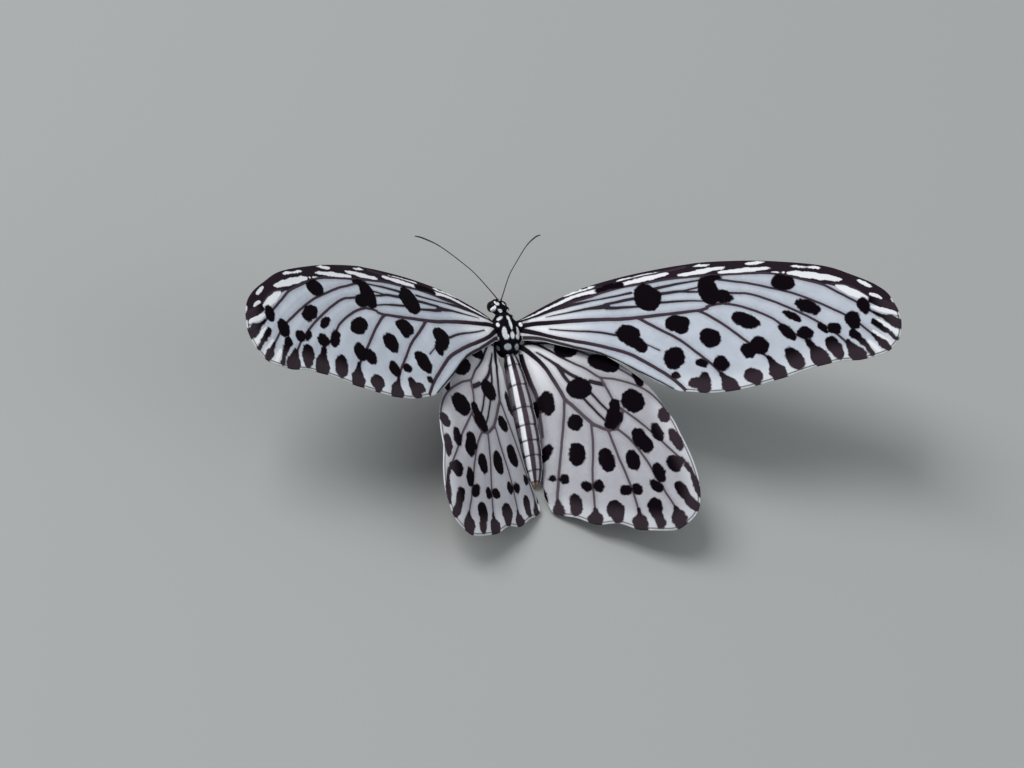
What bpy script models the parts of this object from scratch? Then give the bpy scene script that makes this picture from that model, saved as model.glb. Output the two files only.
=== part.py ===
"""Common tree nymph, a large white and black butterfly, life size, standing on a flat floor.

Metres, Z up. The floor is Z = 0, the head points to -Y and the animal's left side is +X.
Lists and sizes are in millimetres and are multiplied by MM where a shape is made.
The trunk, head and wings are laid out along the body's own line and then tipped as one,
head up. Wing designs are given as (out from the hinge, ahead towards the head).
"""
import math

import bmesh
import bpy
from mathutils import Matrix, Vector
from mathutils.geometry import delaunay_2d_cdt

MM = 0.001
GAP = 0.28                      # clear space between two nodes that touch in life

# How the animal stands
BODY_PITCH = math.radians(17)   # head up
BODY_HEIGHT = 9.3               # middle of the thorax above the floor
BODY_AHEAD = 11.6               # middle of the thorax ahead of the middle of the whole

# Trunk, from the middle of the thorax: minus is ahead, plus is behind
HEAD_BACK, HEAD_MIDDLE, HEAD_FRONT = -3.95, -5.2, -6.75
COLLAR_FRONT, COLLAR_BACK = HEAD_BACK + GAP, -2.75
THORAX_FRONT, THORAX_BACK = COLLAR_BACK + GAP, 4.45
ABDOMEN_FRONT, ABDOMEN_BACK = THORAX_BACK + GAP, 30.2
THORAX_HALF_WIDTH, THORAX_HALF_HEIGHT = 2.85, 2.55
THORAX_HUMP = 0.38              # how much the thorax's front is set higher than its back
EYE_RADIUS, EYE_DEPTH = 1.15, 0.72
EYE_OUT, EYE_MIDDLE, EYE_UP = 1.2, -5.34, -0.58

# Wings: place of the hinge beside, behind and above the thorax, then the set of the blade.
# droop bends the tip down, twist turns the tip nose down, crown arches it front to back.
WING_THICKNESS = 0.5
VEIN_RISE = (0.27, 0.14)        # above the membrane, at the root and at the tip of a vein
VEIN_HALF_WIDTH = (0.5, 0.32)
VEIN_STEP, MEMBRANE_STEP = 2.8, 5.0
WING_LENGTH, WING_DEPTH = 72.0, 40.0
FOREWING = {
    "hinge": (3.2, -0.95, 2.2),
    "raised": math.radians(20.7), "nose_down": math.radians(15.1),
    "droop": 3.3, "twist": 7.6, "crown": 6.2,
    "scallops": (-0.2, 0.0, 0.2, 0.05, 0.0, -0.25),   # inward, between one vein end and the next
}
HINDWING = {
    "hinge": (2.8, 2.9, 1.0),
    "raised": math.radians(27.9), "nose_down": math.radians(8.3),
    "droop": 21.9, "twist": 0.55, "crown": 5.1,
    "scallops": (-0.1, -0.5, 0.1, 0.8, 0.3),
}

FORE_COSTA = [(0.0, 1.0), (2, 2.5), (4, 3.9), (8, 5.4), (12, 6.4), (18, 7.2), (25, 7.9), (34, 8.4),
              (42.5, 7.9), (50, 6.9), (59, 5.0), (64.1, 2.7), (68.7, 0.0), (71, -2.8)]
FORE_INNER = [(25.3, -16.7), (22, -14.9), (18.5, -12.2), (15.8, -9.6), (12.9, -7.7), (8.2, -5.8),
              (4.1, -4.0), (0.0, -2.2)]
FORE_VEINS = {
    "radius_5": [(0.4, 0.7), (5, 2.3), (15, 4.4), (25, 5.6), (37, 5.4), (47, 4.6), (56, 2.3),
                 (60, 1.0), (64.5, -3.5), (71.8, -7.6)],
    "media_1": [(37, 5.2), (41, 3.8), (50, 1.1), (58, -3.0), (66, -9.6), (68.8, -12.3)],
    "media_2": [(37.6, 2.2), (44, 0.3), (52, -3.7), (60, -10.3), (62.8, -13.9)],
    "media_3": [(38.7, -0.7), (46, -4.1), (53, -10.8), (55, -14.4)],
    "cubitus_1": [(33.5, -2.0), (38, -6.1), (44.3, -13.0), (46.4, -16.3)],
    "cubitus_2": [(22, -2.1), (27, -6.3), (34.2, -14.2), (36.6, -17.9)],
    "anal_2": [(0.4, -0.8), (5, -3.3), (15, -7.3), (23, -12.9), (27.5, -17.3)],
}
FORE_INSIDE_VEINS = {
    "costal_edge": [(1.0, 1.3), (12, 5.9), (24, 7.3), (34, 7.9), (44, 7.3), (55, 5.6), (66, 1.2)],
    "subcosta": [(0.6, 1.2), (5, 3.4), (12, 5.5), (22, 6.9), (31, 7.7)],
    "cell_floor": [(0.4, 0.0), (10, -0.7), (22, -1.9), (33.5, -1.9), (38.7, -0.7)],
    "cell_end": [(37, 5.4), (37.4, 2.2), (38.7, -0.7)],
}
HIND_COSTA = [(0.0, 1.0), (5, 1.0), (10, -1.0), (15, -4.2), (19, -7.7), (21.9, -11.2), (24.2, -16.0)]
HIND_INNER = [(-1.2, -31.0), (-1.7, -27.5), (-1.5, -20.0), (-1.2, -12.0), (-0.7, -6.0), (0.0, -2.6)]
HIND_VEINS = {
    "radial_sector": [(0.5, 0.2), (6, -4.0), (13, -8.6), (20, -11.1), (25.6, -20.5)],
    "media_1": [(13, -8.6), (14.2, -12.8), (16, -15.5), (21.5, -21.5), (26, -27.3), (27.3, -31.2)],
    "media_2": [(14.2, -18.6), (18, -24.4), (21.2, -32.5), (22.6, -38.2)],
    "media_3": [(12.4, -18.9), (13.8, -26.0), (14.9, -32.5), (15.0, -38.0)],
    "cubitus_1": [(9.5, -17.5), (8.3, -24.7), (7.2, -31.8), (6.7, -35.9)],
    "cubitus_2": [(5.2, -11.8), (3.3, -19.6), (1.5, -27.0), (0.9, -33.2)],
}
HIND_INSIDE_VEINS = {
    "subcosta": [(0.8, 0.7), (6, 0.1), (12, -3.2), (18, -8.0), (22.6, -13.8)],
    "cell_floor": [(0.3, -0.8), (3.8, -8.0), (9.5, -17.5), (14.2, -18.6)],
    "cell_end": [(14.2, -12.8), (14.5, -15.5), (14.2, -18.6)],
    "anal_2": [(0.0, -2.4), (0.5, -7.0), (0.9, -14.0), (0.6, -22.0), (0.0, -30.0)],
}
FOLD_SOFTNESS, FOLD_DROP, FOLD_FLOOR = 0.7, 1.64, 0.75  # the inner edge hangs beside the abdomen
TUCK_DROP, TUCK_REACH = 0.75, 6.0                       # the front edge runs under the forewing

# Abdomen: ring joints behind the thorax's middle, and half widths there
ABDOMEN_JOINTS = [ABDOMEN_FRONT, 6.7, 10.8, 15.3, 18.7, 21.7, 24.5, 27.2]
ABDOMEN_HALF_WIDTHS = [1.1, 1.5, 1.85, 2.0, 2.05, 2.05, 1.95, 1.65]

# Feelers, from the face to the club, with their radii
ANTENNA = [(0.6, HEAD_FRONT - GAP, 0.62), (3.35, -11.0, 0.2), (5.4, -13.4, -0.1), (9.4, -17.4, -1.0),
           (12.3, -19.4, -1.8), (13.8, -20.0, -2.2)]
ANTENNA_RADII = [0.27, 0.25, 0.25, 0.26, 0.36, 0.22]
PALP = [(0.85, -5.95, -2.15), (0.88, -6.7, -2.2), (0.9, -7.3, -1.85), (0.88, -7.4, -1.3)]
PALP_RADII = [0.25, 0.28, 0.26, 0.14]
COIL_MIDDLE, COIL_OUTER, COIL_INNER, COIL_TURNS, COIL_ROD = (0.0, -6.75, -3.45), 1.2, 0.3, 1.2, 0.25

# Legs: where each leaves the thorax (out, behind), then its way in the floor's own axes,
# (out, behind, up), and its radii. The front pair is small and folded, as in its family.
FORELEG_ROOT, MIDLEG_ROOT, HINDLEG_ROOT = (0.85, -1.5), (1.15, 0.1), (1.1, 2.3)
FORELEG = [(1.2, -3.6, 6.0), (1.35, -4.9, 5.4), (1.25, -3.4, 4.9), (1.05, -2.2, 5.1)]
MIDLEG = [(2.6, -0.9, 5.7), (8.6, -3.6, 8.2), (12.8, -6.4, 1.2), (13.6, -7.0, 0.3), (17.2, -9.8, 0.2)]
HINDLEG = [(2.6, 2.9, 5.1), (7.6, 8.4, 7.2), (10.6, 15.2, 1.2), (11.0, 16.1, 0.3), (12.8, 20.6, 0.2)]
FORELEG_RADII = [0.42, 0.34, 0.3, 0.27, 0.25]
LEG_RADII = [0.48, 0.42, 0.36, 0.28, 0.26, 0.25]
JOINT_CUT = 0.45


def clear_scene():
    for item in list(bpy.data.objects):
        bpy.data.objects.remove(item, do_unlink=True)


def new_material(name, colour, roughness):
    material = bpy.data.materials.new(name)
    material.use_nodes = True
    shader = material.node_tree.nodes["Principled BSDF"]
    shader.inputs["Base Color"].default_value = (*colour, 1.0)
    shader.inputs["Roughness"].default_value = roughness
    shader.inputs["Metallic"].default_value = 0.0
    return material


def add_object(name, data, material, group, parent=None):
    item = bpy.data.objects.new(name, data)
    data.materials.append(material)
    item.parent = parent
    group.objects.link(item)
    return item


def through(points, spacing, count=None):
    """A smooth line through the points, with a vertex about every spacing, or count a stretch."""
    points = [Vector(p) for p in points]
    ends = [2 * points[0] - points[1]] + points + [2 * points[-1] - points[-2]]
    line = []
    for i in range(1, len(ends) - 2):
        a, b, c, d = ends[i - 1:i + 3]
        steps = count or max(1, round((c - b).length / spacing))
        for k in range(steps):
            t = k / steps
            line.append(0.5 * (2 * b + (c - a) * t + (2 * a - 5 * b + 4 * c - d) * t * t
                               + (3 * b - a - 3 * c + d) * t ** 3))
    line.append(points[-1])
    return line


def bent(points, cut):
    """Straight stretches through the points, with each corner cut off."""
    line = [points[0]]
    for before, corner, after in zip(points, points[1:], points[2:]):
        for end in (before, after):
            line.append(corner.lerp(end, min(0.45, cut / (end - corner).length)))
    return [*line, points[-1]]


def near_line(point, line):
    """Distance from a point to a line of vertices, and how far along it, 0 to 1."""
    best = (1e9, 0.0)
    for i in range(len(line) - 1):
        a, b = line[i], line[i + 1]
        t = min(1.0, max(0.0, (point - a).dot(b - a) / (b - a).length_squared))
        best = min(best, ((point - a.lerp(b, t)).length, (i + t) / (len(line) - 1)))
    return best


def vein_size(ends, t):
    return ends[0] + (ends[1] - ends[0]) * t


def trunk_half_sizes(behind):
    """Half width and half height of the thorax at a place along the body."""
    t = (behind - THORAX_FRONT) / (THORAX_BACK - THORAX_FRONT)
    swell = 0.52 + 0.48 * math.sin(math.pi * min(1.0, max(0.0, 0.1 + 0.82 * t)) ** 0.9)
    return THORAX_HALF_WIDTH * swell, THORAX_HALF_HEIGHT * swell


def thorax_middle(behind):
    """Height of the thorax's middle, which is humped in front."""
    t = (behind - THORAX_FRONT) / (THORAX_BACK - THORAX_FRONT)
    return THORAX_HUMP * max(0.0, 1.0 - (t / 0.75) ** 2)


def thorax_side(behind, up):
    """How far out the thorax's side is at that height."""
    behind = min(THORAX_BACK, max(THORAX_FRONT, behind))
    half_width, half_height = trunk_half_sizes(behind)
    up = up - thorax_middle(behind)
    across = max(0.0, 1.0 - min(1.0, abs(up / half_height)) ** 2.4)
    return half_width * across ** (1 / 2.4)


def thorax_under(behind, out):
    """How far down the thorax's underside is at a place beside its middle line."""
    half_width, half_height = trunk_half_sizes(behind)
    return half_height * (1.0 - (out / half_width) ** 2.4) ** (1 / 2.4) - thorax_middle(behind)


def abdomen_half_width(behind):
    """Half width of the abdomen at a place along the body, without its ring swellings."""
    places = [*ABDOMEN_JOINTS, ABDOMEN_BACK - 1.0, ABDOMEN_BACK + 2.0]
    widths = [*ABDOMEN_HALF_WIDTHS, 1.05, 0.0]
    for i in range(len(places) - 1):
        if behind < places[i + 1]:
            t = max(0.0, (behind - places[i]) / (places[i + 1] - places[i]))
            return widths[i] + (widths[i + 1] - widths[i]) * t
    return 0.0


def wing_point(wing, out, ahead, side):
    """A point of the wing's middle sheet, in the body's frame."""
    up = -(wing["droop"] * (out / WING_LENGTH) ** 2 + wing["crown"] * (ahead / WING_DEPTH) ** 2)
    up += wing["twist"] * out * ahead / (WING_LENGTH * WING_DEPTH)
    if wing is HINDWING:
        from_edge = near_line(Vector((out, ahead)), [Vector(p) for p in HIND_COSTA])[0]
        up -= TUCK_DROP * max(0.0, 1.0 - from_edge / TUCK_REACH) ** 0.7
    turn = Matrix.Rotation(-wing["raised"], 3, "Y") @ Matrix.Rotation(wing["nose_down"], 3, "X")
    spot = turn @ Vector((out, -ahead, up)) + Vector(wing["hinge"])
    if wing is HINDWING:
        beside = abdomen_half_width(spot.y) + GAP + WING_THICKNESS
        pushed = FOLD_SOFTNESS * math.log1p(math.exp((beside - spot.x) / FOLD_SOFTNESS))
        lowest = (FOLD_FLOOR - BODY_HEIGHT + spot.y * math.sin(BODY_PITCH)) / math.cos(BODY_PITCH)
        spot.x += pushed
        spot.z = max(lowest, spot.z - FOLD_DROP * pushed)
    return Vector((side * spot.x, spot.y, spot.z))


def wing_outline(wing, costa, veins, inner, spacing):
    """The rim: front edge, scalloped outer edge from vein end to vein end, inner edge."""
    ends = [line[-1] for line in veins.values()]
    corners = [Vector(p) for p in costa + ends + inner]
    first, last = len(costa), len(costa) + len(ends) - 1
    rim = []
    for i in range(len(corners) - 1):
        a = corners[max(0, i - 1)]
        b, c = corners[i], corners[i + 1]
        d = corners[min(len(corners) - 1, i + 2)]
        steps = max(2, round((c - b).length / spacing))
        inward = Vector(((c - b).y, -(c - b).x)).normalized()
        for k in range(steps):
            t = k / steps
            spot = 0.5 * (2 * b + (c - a) * t + (2 * a - 5 * b + 4 * c - d) * t * t
                          + (3 * b - a - 3 * c + d) * t ** 3)
            if first <= i < last:
                spot = spot + inward * wing["scallops"][i - first] * math.sin(math.pi * t) ** 2
            rim.append(spot)
    root_steps = 5
    rim += [corners[-1].lerp(corners[0], k / root_steps) for k in range(root_steps)]
    return rim


def add_wing(name, wing, design, side, material, group, parent):
    """One wing: a thin cambered blade, thicker along its veins, which stand up on both faces."""
    costa, veins, inside_veins, inner = design
    rim = wing_outline(wing, costa, veins, inner, 1.7)
    short_of_rim = [[*line[:-1], Vector(line[-1]).lerp(Vector(line[-2]), 0.1)] for line in veins.values()]
    crests = [through(line, VEIN_STEP) for line in [*short_of_rim, *inside_veins.values()]]

    # Each vein gives a crest line and a foot line on each side of it
    points = list(rim)
    edges = []
    for crest in crests:
        for offset in (-1, 0, 1):
            start = len(points)
            for i, spot in enumerate(crest):
                along = (crest[min(i + 1, len(crest) - 1)] - crest[max(i - 1, 0)]).normalized()
                width = vein_size(VEIN_HALF_WIDTH, i / (len(crest) - 1))
                points.append(spot + Vector((-along.y, along.x)) * width * offset)
            edges += [(k, k + 1) for k in range(start, len(points) - 1)]
    for i in range(int(WING_LENGTH / MEMBRANE_STEP)):
        for j in range(int(-WING_DEPTH / MEMBRANE_STEP), 3):
            spot = Vector(((i + 0.5 * (j % 2)) * MEMBRANE_STEP, j * MEMBRANE_STEP))
            if min(near_line(spot, line)[0] for line in [rim, *crests]) > 0.4 * MEMBRANE_STEP:
                points.append(spot)
    spread = delaunay_2d_cdt(points, edges, [list(range(len(rim)))], 1, 0.03)

    sheet = bmesh.new()
    layer = sheet.verts.layers.deform.verify()
    fullest = WING_THICKNESS + 2 * VEIN_RISE[0]
    vertices = []
    for spot in spread[0]:
        rise = 0.0
        for crest in crests:
            away, t = near_line(spot, crest)
            rise = max(rise, vein_size(VEIN_RISE, t) * (1 - away / vein_size(VEIN_HALF_WIDTH, t)))
        place = wing_point(wing, spot.x, spot.y, side)
        if spot.x < 0.01 and place.y < THORAX_BACK + GAP:
            widest = max(thorax_side(place.y, place.z + k) for k in (-0.5, 0.0, 0.5))
            place.x = side * (widest + GAP)
        vertices.append(sheet.verts.new(place * MM))
        vertices[-1][layer][0] = (WING_THICKNESS + 2 * rise) / fullest
    for face in spread[2]:
        order = face if side > 0 else list(reversed(face))
        sheet.faces.new([vertices[k] for k in order])
    loose = [vertex for vertex in vertices if not vertex.link_faces]
    bmesh.ops.delete(sheet, geom=loose, context="VERTS")
    data = bpy.data.meshes.new(name)
    sheet.to_mesh(data)
    sheet.free()
    item = add_object(name, data, material, group, parent)
    item.vertex_groups.new(name="thickness")
    solidify = item.modifiers.new("Blade", "SOLIDIFY")
    solidify.thickness = fullest * MM
    solidify.offset = 0.0
    solidify.vertex_group = "thickness"
    return item


def loft(name, rings, material, group, parent=None, squareness=2.4, sides=24):
    """A closed body through upright rings: (behind, half width, half height, middle height)."""
    body = bmesh.new()
    loops = []
    for behind, half_width, half_height, middle in rings:
        loop = []
        for k in range(sides):
            angle = 2 * math.pi * (k + 0.5) / sides
            c, s = math.cos(angle), math.sin(angle)
            x = half_width * math.copysign(abs(c) ** (2 / squareness), c)
            z = half_height * math.copysign(abs(s) ** (2 / squareness), s) + middle
            loop.append(body.verts.new(Vector((x, behind, z)) * MM))
        loops.append(loop)
    for a, b in zip(loops, loops[1:]):
        for k in range(sides):
            j = (k + 1) % sides
            body.faces.new((a[k], a[j], b[j], b[k]))
    body.faces.new(loops[0][::-1])
    body.faces.new(loops[-1])
    bmesh.ops.recalc_face_normals(body, faces=body.faces[:])
    data = bpy.data.meshes.new(name)
    body.to_mesh(data)
    body.free()
    data.shade_smooth()
    return add_object(name, data, material, group, parent)


def tube(name, points, radii, material, group, parent=None, spacing=1.2, cut=0.0):
    """A round rod that changes thickness, curved, or in straight stretches where cut is given."""
    path = [Vector((*p, r)) for p, r in zip(points, radii)]
    line = bent(path, cut) if cut else through(path, spacing)
    curve = bpy.data.curves.new(name, "CURVE")
    curve.dimensions = "3D"
    curve.bevel_depth = MM
    curve.bevel_resolution = 2
    curve.use_fill_caps = True
    spline = curve.splines.new("POLY")
    spline.points.add(len(line) - 1)
    for knot, spot in zip(spline.points, line):
        knot.co = (*(spot.xyz * MM), 1.0)
        knot.radius = spot.w
    rod = bpy.data.objects.new(name, curve)
    group.objects.link(rod)
    bpy.context.view_layer.update()
    shape = rod.evaluated_get(bpy.context.evaluated_depsgraph_get())
    mesh = bpy.data.meshes.new_from_object(shape)
    bpy.data.objects.remove(rod)
    bpy.data.curves.remove(curve)
    solid = bmesh.new()
    solid.from_mesh(mesh)
    bmesh.ops.remove_doubles(solid, verts=solid.verts[:], dist=0.000001)
    bmesh.ops.recalc_face_normals(solid, faces=solid.faces[:])
    solid.to_mesh(mesh)
    solid.free()
    mesh.name = name
    mesh.shade_smooth()
    return add_object(name, mesh, material, group, parent)


def ball(name, middle, radii, material, group, parent=None, segments=24, rings=14):
    shape = bmesh.new()
    bmesh.ops.create_uvsphere(shape, u_segments=segments, v_segments=rings, radius=MM)
    bmesh.ops.transform(shape, matrix=Matrix.Translation(Vector(middle) * MM)
                        @ Matrix.Diagonal((*radii, 1.0)), verts=shape.verts[:])
    data = bpy.data.meshes.new(name)
    shape.to_mesh(data)
    shape.free()
    data.shade_smooth()
    return add_object(name, data, material, group, parent)


def combine(item, others, operation):
    """One Boolean with every object in the list, applied, and the helpers removed."""
    helpers = bpy.data.collections.new(item.name + "_helpers")
    bpy.context.scene.collection.children.link(helpers)
    for other in others:
        for home in list(other.users_collection):
            home.objects.unlink(other)
        helpers.objects.link(other)
    step = item.modifiers.new("Combine", "BOOLEAN")
    step.operation = operation
    step.operand_type = "COLLECTION"
    step.collection = helpers
    step.solver = "EXACT"
    bpy.context.view_layer.update()
    shape = item.evaluated_get(bpy.context.evaluated_depsgraph_get())
    mesh = bpy.data.meshes.new_from_object(shape)
    item.modifiers.remove(step)
    item.data = mesh
    for other in list(helpers.objects):
        bpy.data.objects.remove(other)
    bpy.data.collections.remove(helpers)


def keep_above_floor(item, frame):
    """Presses whatever would go below the floor flat on it."""
    for vertex in item.data.vertices:
        spot = frame @ vertex.co
        if spot.z < 0.0:
            spot.z = 0.0
            vertex.co = frame.inverted() @ spot


def mirrored(points, side):
    return [(side * p[0], *p[1:]) for p in points]


def abdomen_rings():
    """Each ring of the abdomen swells to its hind edge and overlaps the next like a sleeve."""
    rings = []
    stops = [*ABDOMEN_JOINTS[1:], ABDOMEN_BACK - 1.0]
    for start, stop in zip(ABDOMEN_JOINTS, stops):
        for t, fullness in ((0.0, 0.93), (0.12, 0.99), (0.5, 1.04), (0.93, 1.03)):
            behind = start + (stop - start) * t
            wide = abdomen_half_width(behind) * fullness
            rings.append((behind, wide, wide * 1.06, abdomen_middle(behind)))
    rings.append((ABDOMEN_BACK - 0.45, 0.72, 0.8, abdomen_middle(ABDOMEN_BACK)))
    rings.append((ABDOMEN_BACK, 0.3, 0.36, abdomen_middle(ABDOMEN_BACK)))
    return rings


def abdomen_middle(behind):
    """The abdomen arches a little over its length."""
    t = (behind - ABDOMEN_FRONT) / (ABDOMEN_BACK - ABDOMEN_FRONT)
    return 0.25 + 0.9 * math.sin(math.pi * min(1.0, 0.05 + 0.9 * t)) - 0.45 * t


clear_scene()
butterfly = bpy.data.collections.new("common_tree_nymph")
bpy.context.scene.collection.children.link(butterfly)
animal = bpy.data.objects.new("animal", None)
animal.location = (0.0, -BODY_AHEAD * MM, BODY_HEIGHT * MM)
animal.rotation_euler.x = -BODY_PITCH
butterfly.objects.link(animal)
stance = bpy.data.objects.new("stance", None)
stance.location.y = -BODY_AHEAD * MM
butterfly.objects.link(stance)
bpy.context.view_layer.update()

wing_white = new_material("wing scales", (0.72, 0.74, 0.76), 0.55)
hide_black = new_material("black cuticle", (0.02, 0.018, 0.02), 0.5)
belly_grey = new_material("abdomen scales", (0.62, 0.6, 0.64), 0.6)
eye_brown = new_material("eye", (0.03, 0.02, 0.015), 0.15)
limb_brown = new_material("leg and feeler", (0.07, 0.055, 0.045), 0.45)

# Trunk
abdomen = loft("abdomen", abdomen_rings(), belly_grey, butterfly, animal, squareness=2.1, sides=20)
keep_above_floor(abdomen, animal.matrix_world)
thorax_steps = 12
thorax_rings = []
for step in range(thorax_steps + 1):
    behind = THORAX_FRONT + (THORAX_BACK - THORAX_FRONT) * step / thorax_steps
    thorax_rings.append((behind, *trunk_half_sizes(behind), thorax_middle(behind)))
loft("thorax", thorax_rings, hide_black, butterfly, animal)
loft("collar", [(COLLAR_FRONT, 1.15, 1.15, 0.4), (COLLAR_FRONT + 0.3, 1.5, 1.4, 0.4),
                (COLLAR_BACK - 0.3, 1.8, 1.6, 0.4), (COLLAR_BACK, 1.8, 1.6, 0.4)],
     hide_black, butterfly, animal)

# Head, with sockets cut for the eyes
head = loft("head", through([(HEAD_BACK, 1.15, 1.2, 0.35), (-4.5, 1.7, 1.5, 0.1),
                             (HEAD_MIDDLE, 1.5, 1.42, -0.3), (-6.1, 1.2, 1.2, -0.47),
                             (HEAD_FRONT, 0.75, 0.8, -0.6)], None, 3),
            hide_black, butterfly, animal, squareness=2.2)
sockets = []
for side, word in ((1, "left"), (-1, "right")):
    place = (side * EYE_OUT, EYE_MIDDLE, EYE_UP)
    ball("eye_" + word, place, (EYE_DEPTH, EYE_RADIUS, EYE_RADIUS), eye_brown, butterfly, animal)
    sockets.append(ball("socket_" + word, place, (EYE_DEPTH + GAP, EYE_RADIUS + GAP, EYE_RADIUS + GAP),
                        hide_black, butterfly, animal, 20, 12))
combine(head, sockets, "DIFFERENCE")

# Mouthparts and feelers
coil = []
coil_steps = 22
for step in range(coil_steps + 1):
    t = step / coil_steps
    turn = 2 * math.pi * COIL_TURNS * t + math.radians(60)
    radius = COIL_OUTER + (COIL_INNER - COIL_OUTER) * t
    coil.append((COIL_MIDDLE[0], COIL_MIDDLE[1] + radius * math.cos(turn),
                 COIL_MIDDLE[2] + radius * math.sin(turn)))
tube("proboscis", coil, [COIL_ROD] * len(coil), limb_brown, butterfly, animal)
for side, word in ((1, "left"), (-1, "right")):
    tube("palp_" + word, mirrored(PALP, side), PALP_RADII, hide_black, butterfly, animal, 0.5)
    tube("antenna_" + word, mirrored(ANTENNA, side), ANTENNA_RADII, limb_brown, butterfly, animal)

# Legs, each from a flat on the underside of the thorax to a foot flat on the floor
standing = stance.matrix_world.inverted() @ animal.matrix_world
for side, word in ((1, "left"), (-1, "right")):
    for kind, (out, behind), way, radii in (("foreleg", FORELEG_ROOT, FORELEG, FORELEG_RADII),
                                            ("midleg", MIDLEG_ROOT, MIDLEG, LEG_RADII),
                                            ("hindleg", HINDLEG_ROOT, HINDLEG, LEG_RADII)):
        root = Vector((out, behind, -thorax_under(behind, out) - GAP))
        hip = root + Vector((0.1, 0.0, -0.9))
        start = [standing @ (spot * MM) / MM for spot in (root, hip)]
        leg = tube(kind + "_" + word, mirrored([*start, *way], side), [radii[0], *radii],
                   limb_brown, butterfly, stance, cut=JOINT_CUT)
        keep_above_floor(leg, stance.matrix_world)

# Wings
for side, word in ((1, "left"), (-1, "right")):
    add_wing("forewing_" + word, FOREWING, (FORE_COSTA, FORE_VEINS, FORE_INSIDE_VEINS, FORE_INNER),
             side, wing_white, butterfly, animal)
    add_wing("hindwing_" + word, HINDWING, (HIND_COSTA, HIND_VEINS, HIND_INSIDE_VEINS, HIND_INNER),
             side, wing_white, butterfly, animal)
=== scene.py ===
"""Looks of a life-size common tree nymph, a white and black butterfly, on a pale floor."""
import math
import random

import bpy
import numpy as np
from mathutils import Matrix, Vector
from mathutils.geometry import delaunay_2d_cdt


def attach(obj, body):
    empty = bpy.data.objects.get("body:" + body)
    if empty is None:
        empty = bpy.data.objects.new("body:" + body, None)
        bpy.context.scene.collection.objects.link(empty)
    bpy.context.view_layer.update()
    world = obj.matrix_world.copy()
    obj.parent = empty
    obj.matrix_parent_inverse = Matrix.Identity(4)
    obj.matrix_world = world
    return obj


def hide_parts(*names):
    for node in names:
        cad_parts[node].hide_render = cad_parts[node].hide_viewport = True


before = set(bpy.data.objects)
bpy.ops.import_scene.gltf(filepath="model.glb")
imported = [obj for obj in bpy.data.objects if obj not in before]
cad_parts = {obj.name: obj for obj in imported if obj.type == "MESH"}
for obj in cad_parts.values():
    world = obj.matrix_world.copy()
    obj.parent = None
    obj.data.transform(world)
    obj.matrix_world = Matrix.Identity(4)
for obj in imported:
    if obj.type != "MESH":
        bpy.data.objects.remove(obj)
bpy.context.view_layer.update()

# The place and pose. The butterfly stands on the floor with its head raised. Its own shapes are
# laid out in millimetres along its body, head to minus Y, left side to plus X, and are then
# tipped and lifted into place.
MM = 0.001
BODY_PITCH = math.radians(17)
BODY_AHEAD, BODY_HEIGHT = 11.6, 9.3
body_turn = Matrix.Rotation(-BODY_PITCH, 3, "X")
body_place = Vector((0.0, -BODY_AHEAD, BODY_HEIGHT))
SIDES = (1, "left"), (-1, "right")


def stand(points):
    """Body points in millimetres, set in the pose, in metres."""
    return (np.asarray(points) @ np.array(body_turn).T + np.array(body_place)) * MM


# Floor, lights and camera. The photograph looks down on the back from the animal's left and
# from a little behind, so the camera is rolled to bring the head to the top of the picture.
# The lens is long because the animal fills little of a wide view.
CAMERA_DISTANCE = 1.8
FRAME_WIDTH = 0.1891
FRAME_CENTRE_RIGHT, FRAME_CENTRE_DOWN = 0.00143, 0.00934
to_camera = (body_turn @ Vector((0.545, 0.266, 0.795))).normalized()
picture_right = body_turn @ Vector((-0.838, 0.190, 0.511))
picture_up = to_camera.cross(picture_right).normalized()
picture_right = picture_up.cross(to_camera)

lens = bpy.data.cameras.new("camera")
lens.sensor_width = 36.0
lens.lens = lens.sensor_width * CAMERA_DISTANCE / FRAME_WIDTH
lens.clip_start, lens.clip_end = 0.05, 50.0
camera = bpy.data.objects.new("camera", lens)
camera_aim = body_place * MM + picture_right * FRAME_CENTRE_RIGHT - picture_up * FRAME_CENTRE_DOWN
camera.matrix_world = Matrix.Translation(camera_aim + to_camera * CAMERA_DISTANCE) @ Matrix(
    (picture_right, picture_up, to_camera)).transposed().to_4x4()
bpy.context.scene.collection.objects.link(camera)
bpy.context.scene.camera = camera

FLOOR_HALF = 6.0
floor_mesh = bpy.data.meshes.new("floor")
floor_mesh.from_pydata([(-FLOOR_HALF, -FLOOR_HALF, 0), (FLOOR_HALF, -FLOOR_HALF, 0),
                        (FLOOR_HALF, FLOOR_HALF, 0), (-FLOOR_HALF, FLOOR_HALF, 0)], [], [(0, 1, 2, 3)])
floor = bpy.data.objects.new("floor", floor_mesh)
bpy.context.scene.collection.objects.link(floor)
floor_paint = bpy.data.materials.new("pale floor")
floor_paint.use_nodes = True
floor_shader = floor_paint.node_tree.nodes["Principled BSDF"]
floor_shader.inputs["Base Color"].default_value = (0.42, 0.43, 0.42, 1)
floor_shader.inputs["Roughness"].default_value = 0.85
floor_mesh.materials.append(floor_paint)

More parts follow.
